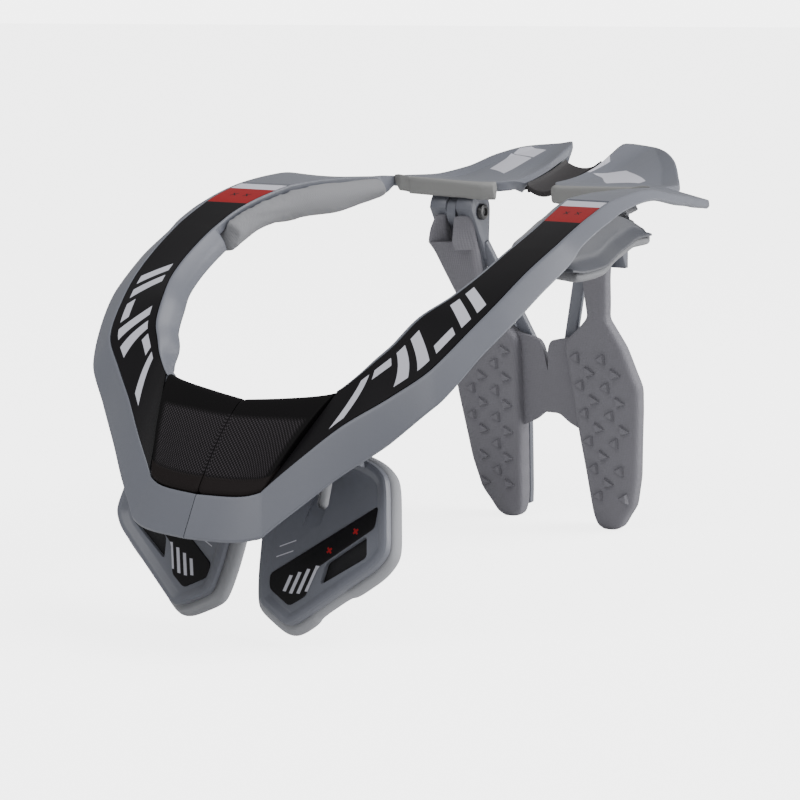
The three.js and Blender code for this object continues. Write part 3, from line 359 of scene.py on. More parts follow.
class Shape:
    """Vertices in millimetres, faces and a map, gathered from closed bodies."""

    def __init__(self):
        self.verts = np.zeros((0, 3))
        self.faces = []
        self.uv = np.zeros((0, 2))

    def add(self, verts, faces, uv=None):
        verts = np.asarray(verts, float).reshape(-1, 3)
        if signed_volume(verts, faces) < 0:
            faces = [face[::-1] for face in faces]
        base = len(self.verts)
        self.faces += [[i + base for i in face] for face in faces]
        self.verts = np.concatenate([self.verts, verts])
        uv = np.zeros((len(verts), 2)) if uv is None else np.asarray(uv, float).reshape(-1, 2)
        self.uv = np.concatenate([self.uv, uv])
        return self

    def tube(self, rings, uv=None):
        rings = np.asarray(rings, float)
        uv = ring_uv(rings) if uv is None else uv
        return self.add(rings, ring_faces(len(rings), rings.shape[1]), uv)

    def sheet(self, grid, uv):
        """An open surface over a grid of points, taken as it is wound."""
        base = len(self.verts)
        rows, count = grid.shape[:2]
        faces = ring_faces(rows, count, closed=False)
        self.faces += [[i + base for i in face] for face in faces]
        self.verts = np.concatenate([self.verts, grid.reshape(-1, 3)])
        self.uv = np.concatenate([self.uv, np.asarray(uv, float).reshape(-1, 2)])
        return self

    def mirrored(self):
        other = Shape()
        other.verts = self.verts * [-1, 1, 1]
        other.faces = [face[::-1] for face in self.faces]
        other.uv = self.uv.copy()
        return other

    def joined(self, other):
        base = len(self.verts)
        self.faces += [[i + base for i in face] for face in other.faces]
        self.verts = np.concatenate([self.verts, other.verts])
        self.uv = np.concatenate([self.uv, other.uv])
        return self

    def object(self, name, material, angle=32.0):
        """Writes the shape into a mesh in metres, smooth but for edges sharper than angle."""
        mesh = bpy.data.meshes.new(name)
        mesh.from_pydata((self.verts * MM).tolist(), [], self.faces)
        layer = mesh.uv_layers.new(name="piece")
        corner = np.zeros(len(mesh.loops), np.int32)
        mesh.loops.foreach_get("vertex_index", corner)
        layer.data.foreach_set("uv", (self.uv[corner] * MM).astype(np.float32).ravel())
        mesh.validate()
        mesh.shade_smooth()
        mesh.set_sharp_from_angle(angle=math.radians(angle))
        mesh.materials.append(material)
        piece = bpy.data.objects.new(name, mesh)
        bpy.context.scene.collection.objects.link(piece)
        return piece


def prism(outline, low, high, axis=0):
    """Rings of a flat outline carried straight along one axis."""
    outline = np.asarray(outline, float)
    rings = []
    for level in (low, high):
        rings.append(np.insert(outline, axis, level, axis=1))
    return np.array(rings)


def apply_modifiers(piece):
    """Turns a piece's modifiers into plain mesh."""
    graph = bpy.context.evaluated_depsgraph_get()
    mesh = bpy.data.meshes.new_from_object(piece.evaluated_get(graph))
    piece.modifiers.clear()
    old = piece.data
    piece.data = mesh
    bpy.data.meshes.remove(old)
    return piece


def bevelled(piece, width, segments=3, angle=30.0):
    """Rounds a piece's hard edges, and leaves the result as plain mesh."""
    modifier = piece.modifiers.new("round", "BEVEL")
    modifier.width = width * MM
    modifier.segments = segments
    modifier.limit_method = "ANGLE"
    modifier.angle_limit = math.radians(angle)
    modifier.harden_normals = False
    apply_modifiers(piece)
    piece.data.shade_smooth()
    piece.data.set_sharp_from_angle(angle=math.radians(40))
    return piece


def pierced(piece, *tools):
    """Cuts other pieces out of a piece and removes them."""
    for tool in tools:
        modifier = piece.modifiers.new("cut", "BOOLEAN")
        modifier.operation = "DIFFERENCE"
        modifier.solver = "EXACT"
        modifier.object = tool
        apply_modifiers(piece)
        bpy.data.objects.remove(tool)
    return piece


def puffed(piece, voxel, start, reach):
    """Padded cover by simulation: the closed shape is remeshed, drawn in a little along its
    normals, blown up as cloth with an inner pressure, held to a largest movement, and
    subdivided once."""
    scene = bpy.context.scene
    remesh = piece.modifiers.new("even", "REMESH")
    remesh.mode = "VOXEL"
    remesh.voxel_size = voxel * MM
    apply_modifiers(piece)
    mesh = piece.data
    place_, normal = np.zeros((2, len(mesh.vertices) * 3), np.float32)
    mesh.vertices.foreach_get("co", place_)
    mesh.vertices.foreach_get("normal", normal)
    small = (place_ - normal * start * MM).reshape(-1, 3)
    mesh.vertices.foreach_set("co", small.ravel())
    cloth = piece.modifiers.new("cover", "CLOTH")
    cloth.settings.quality = 5
    cloth.settings.mass = 0.3
    cloth.settings.use_pressure = True
    cloth.settings.uniform_pressure_force = 4.0
    cloth.settings.effector_weights.gravity = 0.0
    for step in range(1, 21):
        scene.frame_set(step)
    blown = piece.evaluated_get(bpy.context.evaluated_depsgraph_get()).to_mesh()
    now = np.zeros(len(blown.vertices) * 3, np.float32)
    blown.vertices.foreach_get("co", now)
    piece.to_mesh_clear()
    piece.modifiers.clear()
    scene.frame_set(1)
    move = now.reshape(-1, 3) - small
    size = np.maximum(np.linalg.norm(move, axis=1, keepdims=True), 1e-9)
    mesh.vertices.foreach_set("co", (small + move * np.minimum(reach * MM / size, 1)).ravel())
    fine = piece.modifiers.new("fine", "SUBSURF")
    fine.levels = fine.render_levels = 1
    apply_modifiers(piece)
    piece.data.shade_smooth()
    return piece


# Collar surface


def sizes():
    return bpy.context.scene.brace_sizes


def scale():
    s = sizes()
    return np.array([s.half_width, s.length, s.rise]) / MM


def at_shares(shares):
    x, y, z = np.moveaxis(np.asarray(shares, float), -1, 0)
    width, length, rise = scale()
    return np.stack([x * width, (y - 0.5) * length, z * rise], axis=-1)


class Collar:
    """The collar's skin at many stations between its named sections."""

    def __init__(self, count=260, first=None, last=None):
        table = np.array([row[1:11] for row in SECTIONS])
        recess = np.array([RECESS[row[11]] for row in SECTIONS])[:, None]
        sunk = np.array([RECESS["pad"] if row[11] == "pad" else 0.0 for row in SECTIONS])[:, None]
        outer = at_shares(table[:, 0:3])
        inner = at_shares(table[:, 3:6])
        knots = chord((outer + inner) / 2)
        lo = NAMES.index(first) if first else 0
        hi = NAMES.index(last) if last else len(NAMES) - 1
        at = stations(knots[lo:hi + 1], count)
        every = np.concatenate([outer, inner, table[:, 6:10], recess, sunk], axis=1)
        creases = [i for i, name in enumerate(NAMES) if name in ("tip", "tip_root")]
        rows = mono_cubic(knots, every, at, creases)
        ahead = mono_cubic(knots, every, np.minimum(at + 1.5, knots[-1]))
        behind = mono_cubic(knots, every, np.maximum(at - 1.5, 0))
        self.border = np.interp(at, knots[-1] - np.array([76.0, 50.0, 20.0, 0.0]), [0.8, 0.83, 0.98, 0.98])
        self.dish = np.interp(at, knots[-1] - np.array([70.0, 55.0, 26.0, 18.0]), [0, 2.4, 1.2, 0])
        self.droop = np.clip((at - knots[-1] + 3.6) / 3.6, 0, 1) * 2.4
        self.at, self.knots = at, knots
        self.outer, self.inner = rows[:, 0:3], rows[:, 3:6]
        self.flare, self.skirt, self.lip, self.sag, self.recess, self.sunk = rows[:, 6:12].T
        along = (ahead - behind)[:, 0:3] + (ahead - behind)[:, 3:6]
        edge = (ahead - behind)[:, 0:3]
        unit = lambda v: v / np.maximum(np.linalg.norm(v, axis=1, keepdims=True), 1e-9)
        self.along = unit(along)
        self.across = unit(self.outer - self.inner)
        top = unit(np.cross(self.along, self.across))
        self.top = top * np.where(top[:, 2:] < 0, -1, 1)
        level = unit(np.stack([edge[:, 1], -edge[:, 0], np.zeros(len(edge))], axis=1))
        turn = np.sum(level * self.across, axis=1, keepdims=True)
        self.level = level * np.where(turn < 0, -1, 1)
        self.inner = self.inner - self.top * self.droop[:, None]
        self.outer = self.outer - self.top * self.droop[:, None]
        if lo == 0:
            self.level[0] = (0, -1, 0)

    def lift(self, base, out, up):
        out = np.broadcast_to(out, len(base))[:, None]
        up = np.broadcast_to(up, len(base))[:, None]
        return base + self.across * out + self.top * up

    def over(self, share, rim=0.0, up=0.0):
        """Point of the top at a share from inner to outer edge, hollowed by the sag as
        4 w (1 - w), and sunk by the recess."""
        share = np.broadcast_to(share, len(self.inner))[:, None]
        width = np.linalg.norm(self.outer - self.inner, axis=1, keepdims=True)
        base = self.inner + self.across * (rim + (width - 2 * rim) * share)
        edge = self.border[:, None]
        hollow = 5.0 * self.sag[:, None] * 4 * share * (1 - share)
        hollow = hollow + self.dish[:, None] * np.minimum(share / edge, (1 - share) / (1 - edge))
        return base + self.top * (up - self.recess[:, None] - hollow)

    def skin(self):
        """Closed ring at each station: inner lip, rim, recessed top, rim, skirt, and back
        along the underside one wall thickness below."""
        s = sizes()
        reach = self.lip * s.lip_reach / MM
        drop = np.where(self.sunk > 0, 0.8, 0.45 + 0.55 * self.lip) * s.lip_drop / MM
        sunk, recess, wall, rim = self.sunk, self.recess, 3.0, 1.4
        up = np.array([0, 0, 1.0])
        lip_low = self.lift(self.inner, -reach + sunk * 0.6, -drop - sunk * 0.4)
        lip_mid = self.lift(self.inner, -reach * 0.85 + sunk * 0.6, -drop * 0.45 - sunk)
        edge = self.lift(self.inner, sunk * 0.4, -sunk)
        rim_in = self.lift(self.inner, rim - 0.25 + sunk * 0.2, -sunk)
        shares = [np.full(len(self.at), w) for w in (0.0, 0.17, 0.34, 0.5, 0.66)]
        shares += [self.border, np.full(len(self.at), 1.0)]
        floor = [self.over(w, rim) for w in shares]
        rim_out = self.lift(self.outer, -rim + 0.25, 0.0)
        skirt = (self.outer + self.level * (self.flare * 10)[:, None]
                 - up * (self.skirt * 20)[:, None])
        side = skirt - self.outer
        side /= np.linalg.norm(side, axis=1, keepdims=True)
        under = recess + wall
        inside = [
            skirt - self.level * wall,
            self.lift(self.outer, -wall - rim, -under),
            self.over(0.5, rim, -wall),
            self.lift(self.inner, wall - reach * 0.1 + sunk * 0.4, -np.maximum(under, sunk + wall)),
            self.lift(lip_mid, wall, -0.5 * wall),
            self.lift(lip_low, wall, 0.0),
        ]
        skirt_edge = [skirt - side * 1.3, skirt - self.level * 1.3]
        ring = [lip_low, lip_mid, edge, rim_in, *floor, rim_out, self.outer, *skirt_edge, *inside]
        radii = [1.6, 6.0, 2.6, 0.25, 0.3, 9, 9, 9, 9, 1.0, 0.3, 0.25, 1.3, 0.5, 0.5,
                 0.6, 3.0, 9.0, 3.0, 4.0, 1.4]
        rings = np.stack(ring, axis=1)
        if self.at[0] == 0:
            rings[0, :, 0] = np.maximum(rings[0, :, 0], 0.2)
        outside = [np.full(len(self.at), w) for w in (-0.4, -0.3, -0.1, -0.04)]
        beyond = [np.full(len(self.at), w) for w in (1.04, 1.1, 1.4, 1.5, 1.6, 1.8, 2, 2, 2, 2)]
        share = np.stack(outside + shares + beyond[:-1], axis=1)
        share = share[:, :rings.shape[1]]
        if share.shape[1] < rings.shape[1]:
            share = np.pad(share, ((0, 0), (0, rings.shape[1] - share.shape[1])), constant_values=2.0)
        return fillet(np.concatenate([rings, share[..., None]], axis=2), radii, 5)


# Finishes


def srgb(*levels):
    return tuple(((c / 255 + 0.055) / 1.055) ** 2.4 if c > 10 else c / 255 / 12.92 for c in levels)


class Nodes:
    """Short forms for building a node tree."""

    def __init__(self, tree):
        self.tree = tree

    def new(self, kind, **settings):
        node = self.tree.nodes.new(kind)
        for key, value in settings.items():
            setattr(node, key, value)
        return node

    def put(self, socket, value):
        if isinstance(value, bpy.types.NodeSocket):
            self.tree.links.new(value, socket)
        else:
            socket.default_value = value

    def math(self, operation, a, b=0.0, c=None, clamp=False):
        node = self.new("ShaderNodeMath", operation=operation, use_clamp=clamp)
        self.put(node.inputs[0], a)
        self.put(node.inputs[1], b)
        if c is not None:
            self.put(node.inputs[2], c)
        return node.outputs[0]

    def mix(self, share, a, b):
        node = self.new("ShaderNodeMix", data_type="RGBA")
        self.put(node.inputs[0], share)
        self.put(node.inputs[6], a if isinstance(a, bpy.types.NodeSocket) else (*a, 1))
        self.put(node.inputs[7], b if isinstance(b, bpy.types.NodeSocket) else (*b, 1))
        return node.outputs[2]

    def between(self, value, low, high, soft=0.00012):
        """1 where value lies between two limits, with a narrow soft edge."""
        rise = self.ramp(value, low - soft, low + soft)
        fall = self.ramp(value, high - soft, high + soft)
        return self.math("SUBTRACT", rise, fall, clamp=True)

    def ramp(self, value, low, high):
        node = self.new("ShaderNodeMapRange", clamp=True)
        self.put(node.inputs[0], value)
        node.inputs[1].default_value = low
        node.inputs[2].default_value = high
        return node.outputs[0]

    def bump(self, height, distance, strength=1.0, normal=None):
        node = self.new("ShaderNodeBump")
        node.inputs["Strength"].default_value = strength
        node.inputs["Distance"].default_value = distance
        self.put(node.inputs["Height"], height)
        if normal is not None:
            self.put(node.inputs["Normal"], normal)
        return node.outputs[0]

    def noise(self, scale_, detail=3.0, rough=0.5, vector=None):
        node = self.new("ShaderNodeTexNoise")
        node.inputs["Scale"].default_value = scale_
        node.inputs["Detail"].default_value = detail
        node.inputs["Roughness"].default_value = rough
        self.put(node.inputs["Vector"], vector if vector is not None else self.object_space())
        return node.outputs[0]

    def object_space(self):
        return self.new("ShaderNodeTexCoord").outputs["Object"]

    def split(self, vector):
        node = self.new("ShaderNodeSeparateXYZ")
        self.put(node.inputs[0], vector)
        return node.outputs

    def piece_map(self):
        return self.split(self.new("ShaderNodeUVMap", uv_map="piece").outputs[0])


def shared_group(name, inputs, outputs, build):
    """A shader node group with named sockets, made once."""
    if name in bpy.data.node_groups:
        return bpy.data.node_groups[name]
    tree = bpy.data.node_groups.new(name, "ShaderNodeTree")
    for label, kind, default in inputs:
        socket = tree.interface.new_socket(name=label, in_out="INPUT", socket_type=kind)
        if default is not None:
            socket.default_value = default
    for label, kind in outputs:
        tree.interface.new_socket(name=label, in_out="OUTPUT", socket_type=kind)
    start = tree.nodes.new("NodeGroupInput")
    end = tree.nodes.new("NodeGroupOutput")
    build(Nodes(tree), start.outputs, end.inputs)
    return tree


def grain_group():
    """Fine moulded grain with slow patches: height, and a small shift of tone."""

    def build(n, given, out):
        fine = n.new("ShaderNodeTexNoise")
        n.put(fine.inputs["Vector"], given["Vector"])
        n.put(fine.inputs["Scale"], given["Scale"])
        fine.inputs["Detail"].default_value = 2.0
        broad = n.new("ShaderNodeTexNoise")
        n.put(broad.inputs["Vector"], given["Vector"])
        broad.inputs["Scale"].default_value = 14.0
        broad.inputs["Detail"].default_value = 3.0
        n.put(out["Height"], fine.outputs[0])
        n.put(out["Tone"], broad.outputs[0])

    return shared_group(
        "Moulded grain",
        [("Vector", "NodeSocketVector", None), ("Scale", "NodeSocketFloat", 2600.0)],
        [("Height", "NodeSocketFloat"), ("Tone", "NodeSocketFloat")], build)


def weave_group():
    """Crossed threads in two directions: sine of each coordinate, the higher one on top."""

    def build(n, given, out):
        a = n.math("SINE", n.math("MULTIPLY", given["Across"], given["Pitch"]))
        b = n.math("SINE", n.math("MULTIPLY", given["Along"], given["Pitch"]))
        height = n.math("MULTIPLY", n.math("ADD", n.math("MULTIPLY", a, b), 1.0), 0.5)
        n.put(out["Height"], height)

    return shared_group(
        "Weave",
        [("Across", "NodeSocketFloat", 0.0), ("Along", "NodeSocketFloat", 0.0),
         ("Pitch", "NodeSocketFloat", 4000.0)],
        [("Height", "NodeSocketFloat")], build)


def finish_material(name, build):
    """A material whose colour, roughness and normal come from build(nodes, shader). The
    frame brings plain materials of its own, so the names are kept apart."""
    name = name + "_look"
    if name in bpy.data.materials:
        return bpy.data.materials[name]
    material = bpy.data.materials.new(name)
    material.use_nodes = True
    n = Nodes(material.node_tree)
    build(n, material.node_tree.nodes["Principled BSDF"])
    return material


def use_group(n, tree, **values):
    node = n.new("ShaderNodeGroup", node_tree=tree)
    for key, value in values.items():
        n.put(node.inputs[key], value)
    return node.outputs


def toned(n, tone, colour, spread):
    """The colour, a little darker and lighter over slow patches."""
    dark = tuple(c * (1 - spread) for c in colour)
    light = tuple(min(c * (1 + spread), 1) for c in colour)
    return n.mix(n.ramp(tone, 0.3, 0.7), dark, light)


def moulded(name, colour, rough=0.45, grain=2600.0, depth=0.00003, spread=0.04, coat=0.0):
    """Moulded plastic or rubber with a fine grain."""

    def build(n, shader):
        out = use_group(n, grain_group(), Vector=n.object_space(), Scale=grain)
        n.put(shader.inputs["Base Color"], toned(n, out["Tone"], colour, spread))
        low, high = rough - 0.05, rough + 0.06
        spreadout = n.math("MULTIPLY_ADD", out["Tone"], high - low, low)
        n.put(shader.inputs["Roughness"], spreadout)
        shader.inputs["Coat Weight"].default_value = coat
        n.put(shader.inputs["Normal"], n.bump(out["Height"], depth))

    return finish_material(name, build)


def colours():
    return bpy.context.scene.brace_colours


def shell_plastic():
    return moulded("shell_plastic", tuple(colours().shell), rough=0.42)


def bar_mask(n, u, v, bars, slant):
    """Slanted bars: each lies between two limits of u + slant v and two limits of v."""
    lean = n.math("MULTIPLY_ADD", v, slant, u)
    total = None
    for u0, u1, v0, v1 in bars:
        piece = n.math("MULTIPLY", n.between(lean, u0, u1), n.between(v, v0, v1))
        total = piece if total is None else n.math("MAXIMUM", total, piece)
    return total


def cross_mask(n, u, v, spots, size, width):
    """Small crosses: two thin bars at right angles, set at 45 degrees, at each spot."""
    total = None
    for cu, cv in spots:
        du = n.math("SUBTRACT", u, cu)
        dv = n.math("SUBTRACT", v, cv)
        a = n.math("ABSOLUTE", n.math("ADD", du, dv))
        b = n.math("ABSOLUTE", n.math("SUBTRACT", du, dv))
        low = n.math("MINIMUM", a, b)
        high = n.math("MAXIMUM", a, b)
        piece = n.math("MULTIPLY", n.ramp(low, width * 1.15, width * 0.85), n.ramp(high, size * 1.05, size * 0.95))
        total = piece if total is None else n.math("MAXIMUM", total, piece)
    return total


# Pieces


def place(piece, node, body):
    """Makes a piece stand for a CAD node and ride on its body."""
    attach(piece, body)
    if node:
        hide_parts(node)
    return piece


def both(shape, name, material, slot, body="brace", node=None, **keys):
    """Left and mirrored right object of a shape, each standing for its CAD node."""
    out = []
    for side, turn in SIDES:
        piece = (shape if turn > 0 else shape.mirrored()).object(f"{name}_{side}_skin", material, **keys)
        out.append((piece, side))
        place(piece, f"{node or name}_{side}", body)
    return out


def collar_shape():
    """Collar half: its ring of skin carried through every station. The map runs along the
    collar and, over the top, from the inner to the outer edge as 30 mm."""
    c = Collar(300)
    rings = c.skin()
    along = np.broadcast_to(c.at[:, None], rings.shape[:2])
    shape = Shape().tube(rings[..., :3], np.stack([along, rings[..., 3] * 30], axis=-1))
    return shape.joined(hanger_shape())


def hanger_shape():
    """Lug under the collar's cheek: a straight loft from inside the wall to a seat on the
    chest plate's face."""
    c = Collar(3)
    low, high = [int(np.argmin(np.abs(c.at - c.knots[NAMES.index(name)]))) for name in ("cheek_low", "cheek")]
    wall = {share: c.over(share, 1.4, -1.5) for share in (0.35, 0.6)}
    roof = [wall[0.35][low], wall[0.35][high], wall[0.6][high], wall[0.6][low]]
    seat = on_plate([(x * PLATE_WIDTH, 0.97 * PLATE_HEIGHT, -GAP - ahead)
                     for x, ahead in ((0.56, 0), (0.74, 0), (0.74, 5), (0.56, 5))])
    return Shape().tube(fillet(np.array([roof, seat]), 1.4, 4))


def collar_plastic():
    """Shell plastic with plain light film on the wings, different on the two sides."""
    c = colours()

    def build(n, shader):
        u, v, _ = n.piece_map()
        x, y, z = n.split(n.object_space())
        out = use_group(n, grain_group(), Vector=n.object_space(), Scale=2600.0)
        near = [area_mask(n, u, v, area) for area in WING_FILM_LEFT]
        far = [area_mask(n, u, v, area) for area in WING_FILM_RIGHT]
        left = n.math("MULTIPLY", n.math("MAXIMUM", *near), n.ramp(x, -0.0002, 0.0002))
        right = n.math("MULTIPLY", n.math("MAXIMUM", *far), n.ramp(x, 0.0002, -0.0002))
        film = n.math("MAXIMUM", left, right)
        base = toned(n, out["Tone"], tuple(c.shell), 0.04)
        n.put(shader.inputs["Base Color"], n.mix(film, base, tuple(c.white)))
        matte = n.math("MULTIPLY_ADD", out["Tone"], 0.11, 0.37)
        n.put(shader.inputs["Roughness"], n.math("MULTIPLY_ADD", film, -0.1, matte))
        n.put(shader.inputs["Normal"], n.bump(out["Height"], 0.00003))

    return finish_material("collar_plastic", build)


def area_mask(n, u, v, corners):
    """1 inside a convex outline in map millimetres: the least of the distances to its
    sides, softened over a tenth of a millimetre."""
    points = np.array(corners) * MM
    middle = points.mean(axis=0)
    total = None
    for a, b in zip(points, np.roll(points, -1, axis=0)):
        side = np.array([-(b - a)[1], (b - a)[0]]) / np.linalg.norm(b - a)
        if np.dot(middle - a, side) < 0:
            side = -side
        offset = float(-np.dot(a, side))
        reach = n.math("MULTIPLY_ADD", u, float(side[0]), n.math("MULTIPLY_ADD", v, float(side[1]), offset))
        total = reach if total is None else n.math("MINIMUM", total, reach)
    return n.ramp(total, -0.00005, 0.00005)


# Film on the wings: corners as millimetres along the collar and share of its width times 30.
WING_FILM_LEFT = [
    [(435.0, 13.5), (440.2, 12.2), (441.4, 27.0), (434.0, 21.0)],
    [(396.0, 18.0), (409.0, 10.8), (433.0, 13.6), (420.0, 19.2), (397.0, 20.4)],
]
WING_FILM_RIGHT = [
    [(402.0, 22.0), (413.5, 15.0), (421.0, 23.5), (409.0, 28.6)],
    [(410.0, 28.4), (421.5, 23.8), (424.5, 27.0), (428.5, 25.6), (427.0, 29.6), (412.0, 29.8)],
]


def band_shape():
    """Printed band: the recessed top between the rims, from the corner to the wing, with a
    flat edge; its map runs along the arm and across it."""
    c = Collar(170, "corner", "band_end")
    rim = 1.4 + 0.25
    shares = np.linspace(0, 1, 9)
    top = np.stack([c.over(w, rim, 0.1 + 1.3) for w in shares], axis=1)
    low = np.stack([c.over(w, rim, 0.1) for w in shares[::-1]], axis=1)
    rings = np.concatenate([top, low], axis=1)
    rings = rings[1:-1]
    along = chord(rings.mean(axis=1))
    width = np.linalg.norm(top[1:-1, -1] - top[1:-1, 0], axis=1)
    v = np.concatenate([shares, shares[::-1]])
    uv = np.stack([np.broadcast_to(along[:, None], rings.shape[:2]),
                   np.broadcast_to(v[None] * 30.0, rings.shape[:2])], axis=-1)
    return Shape().tube(rings, uv), along[-1], width


def band_print(length):
    """Black ground with a white and a red block at the shoulder end and slanted bars."""
    c = colours()

    def build(n, shader):
        u, v, _ = n.piece_map()
        end = length * MM
        white = n.ramp(u, end - 0.0085, end - 0.0083)
        red = n.between(u, end - 0.0285, end - 0.0084)
        bars = bar_mask(n, u, v, BAND_BARS, 0.55)
        marks = cross_mask(n, u, v, [(end - 0.0175, 0.0105), (end - 0.0175, 0.0195)], 0.0034, 0.0006)
        colour = n.mix(bars, tuple(c.black), tuple(c.white))
        colour = n.mix(red, colour, tuple(c.red))
        colour = n.mix(n.math("MULTIPLY", marks, red), colour, tuple(c.black))
        colour = n.mix(white, colour, tuple(c.white))
        n.put(shader.inputs["Base Color"], colour)
        out = use_group(n, grain_group(), Vector=n.object_space(), Scale=1800.0)
        n.put(shader.inputs["Roughness"], n.math("MULTIPLY_ADD", out["Tone"], 0.14, 0.36))
        n.put(shader.inputs["Normal"], n.bump(out["Height"], 0.00001))
        shader.inputs["Specular IOR Level"].default_value = 0.14

    return finish_material("band_print", build)


BAND_BARS = [
    (0.034, 0.040, 0.005, 0.025), (0.044, 0.056, 0.005, 0.010), (0.060, 0.066, 0.005, 0.025),
    (0.070, 0.076, 0.005, 0.025), (0.080, 0.092, 0.020, 0.025), (0.096, 0.102, 0.005, 0.025),
    (0.106, 0.112, 0.005, 0.025),
]


def neck_pad_shape():
    """Chest half of the neck pad: crowned between its edges, rolled over the rim of the
    neck opening, and thinned a little towards the middle joint."""
    c = Collar(70, "seam", "pad_end")
    low = c.lift(c.inner, -3 * 0.6 + 5 * 0.6, -12 * 0.8 - 5 * 0.4)
    mid = c.lift(c.inner, -3 * 0.85 * 0.6 + 5 * 0.6, -12 * 0.8 * 0.45 - 5)
    ring = [
        c.lift(c.outer, -1.7, -4.7),
        c.lift(c.outer, -1.7, 0.4),
        c.over(0.72, 1.4, 5 + 1.9),
        c.over(0.45, 1.4, 5 + 2.5),
        c.over(0.2, 1.4, 5 + 1.9),
        c.lift(c.inner, 1.5, 0.3),
        c.lift(c.inner, -1.2, -2.4),
        c.lift(c.inner, -1.7, -6.4),
        c.lift(low, -4.0, 0.0),
        c.lift(low, -0.4, 0.0),
        c.lift(mid, -0.4, 0.3),
        c.lift(c.inner, 2 - 0.4, -4.7),
        c.over(0.0, 1.4, 0.3),
        c.over(0.5, 1.4, 0.3),
    ]
    rings = np.stack(ring, axis=1)
    rings[0, :, 0] = np.maximum(rings[0, :, 0], 0.25)
    rings = fillet(rings, [0.6, 2.2, 12, 12, 10, 5, 4, 3.5, 2.0, 0.6, 1, 1, 1, 1], steps=6)
    middle = rings.mean(axis=1, keepdims=True)
    x = rings[:, :, :1]
    ease = 1 - 0.03 * np.exp(-((x - 0.25) / 0.9) ** 2)
    rings = middle + (rings - middle) * ease
    return Shape().tube(domed(rings[:-1], end=0.8))


def neck_mesh():
    """Black mesh cloth: a fine square grid of pits that fades out near the pad's edges."""

    def build(n, shader):
        u, v, _ = n.piece_map()
        out = use_group(n, weave_group(), Across=u, Along=v, Pitch=3500.0)
        grain = use_group(n, grain_group(), Vector=n.object_space(), Scale=3000.0)
        inside = n.between(v, 0.0125, 0.044, 0.0015)
        side = n.ramp(u, 0.042, 0.0385)
        mask = n.math("MULTIPLY", inside, side)
        height = n.math("MULTIPLY", out["Height"], mask)
        base = toned(n, grain["Tone"], (0.0018, 0.0014, 0.0018), 0.15)
        border = n.ramp(v, 0.0128, 0.0122)
        base = n.mix(border, base, (0.011, 0.0085, 0.0085))
        # painted highlight: the raised threads of the grid are coloured lighter, by the square of their height,
        # while the pits stay black
        painted_thread_highlight = n.mix(n.math("MULTIPLY", height, height), base, (0.06, 0.053, 0.06))
        n.put(shader.inputs["Base Color"], painted_thread_highlight)
        shader.inputs["Roughness"].default_value = 0.6
        shader.inputs["Specular IOR Level"].default_value = 0.1
        soft = n.bump(grain["Height"], 0.00003)
        n.put(shader.inputs["Normal"], n.bump(height, 0.0006, 1.0, soft))

    return finish_material("neck_mesh", build)


def shoulder_rows():
    """Corners that the tray and the pad share, section by section."""
    width, _, rise = scale()
    full = Collar(2)
    named = {}
    c = Collar(3)
    for name, reach, seam, belly, crest in SHOULDER:
        opening = 1 - crest
        i = int(np.argmin(np.abs(c.at - c.knots[NAMES.index(name)])))
        row = SECTIONS[NAMES.index(name)]
        skirt = c.outer[i] + c.level[i] * c.flare[i] * 10 - np.array([0, 0, 1]) * c.skirt[i] * 20
        low = c.inner[i] - c.top[i] * 12 * 0.45
        rim = np.array([reach * width, c.outer[i][1], seam * rise])
        roof = min(skirt[2], low[2]) - 2 * GAP
        high = max(min(roof, crest * rise), rim[2] + 2.5)
        root = min(skirt[0] - 5, rim[0] - 5)
        knee = rim[2] + min(5.5, (high - rim[2]) * 0.6)
        named[name] = dict(
            tray=reach > 0.95, opening=opening, inner=c.inner[i], across=c.across[i], top=c.top[i], rim=rim,
            roof=roof, high=high, root=root, knee=knee, belly=belly * rise, low=low,
            mid=c.inner[i] - c.top[i] * 12 * 0.45 * 0.45)
    return list(named.values())


def tray_shape():
    """Hard tray: a flared wall carried along the shoulder, round at its rim and ends."""
    rings = []
    for r in shoulder_rows():
        if not r["tray"]:
            continue
        x, y, z = r["rim"]
        p = lambda px, pz: (px, y, pz)
        rings.append([
            p(r["root"], r["high"]), p(x - 6, r["knee"]), p(x, z + 1.2), p(x, z),
            p(x - 6, r["knee"] - 2.6), p(r["root"] - 2.6, r["high"] - 1.6),
        ])
    rings = smoothed(rings, 60)
    return Shape().tube(domed(fillet(rings, [0.8, 2.2, 0.7, 0.7, 2.2, 0.8], 5), 0.5, 2.4, 6))


def shoulder_pad_rings():
    rings = []
    for r in shoulder_rows():
        inner, rim = r["inner"], r["rim"]
        lift = lambda base, out, up: base + r["across"] * out + r["top"] * up
        p = lambda x, z, t: np.array([x, inner[1] + (rim[1] - inner[1]) * t, z])
        tray = r["tray"]
        clear = 3 * GAP
        outer = [p(rim[0] - 6.4, r["knee"] - 2.9, 1), p(r["root"] - 2.9 - 150 * r["opening"], r["high"] - 1.9 - 34 * r["opening"], 0.9)]
        bare = [p(rim[0] - 0.8, rim[2] + 0.8, 1), p(rim[0] - 2.4, min(r["roof"] - GAP, rim[2] + 3.5), 0.9)]
        rings.append([
            lift(inner, -clear, -1.2),
            lift(inner, -6, -2.2),
            lift(inner, -9.5, -8),
            p(inner[0] - 8, min(r["belly"] + 2, inner[2] - 9), 0),
            p(inner[0] - 4, r["belly"], 0.1),
            p((inner[0] + rim[0]) / 2, r["belly"] - 1, 0.5),
            p(rim[0] - (4 if tray else 2), rim[2] - (5 if tray else 1.6), 1),
            p(rim[0] - 0.4, rim[2] - (3.4 if tray else 0.9), 1),
            p(rim[0] - 0.4, rim[2] - GAP, 1),
            *(outer if tray else bare),
            p(min(inner[0] + 3, rim[0] - 3), r["roof"] - GAP, 0.1),
            lift(r["low"], -clear, -clear),
            lift(r["mid"], -clear, 0),
        ])
    return np.array(rings)


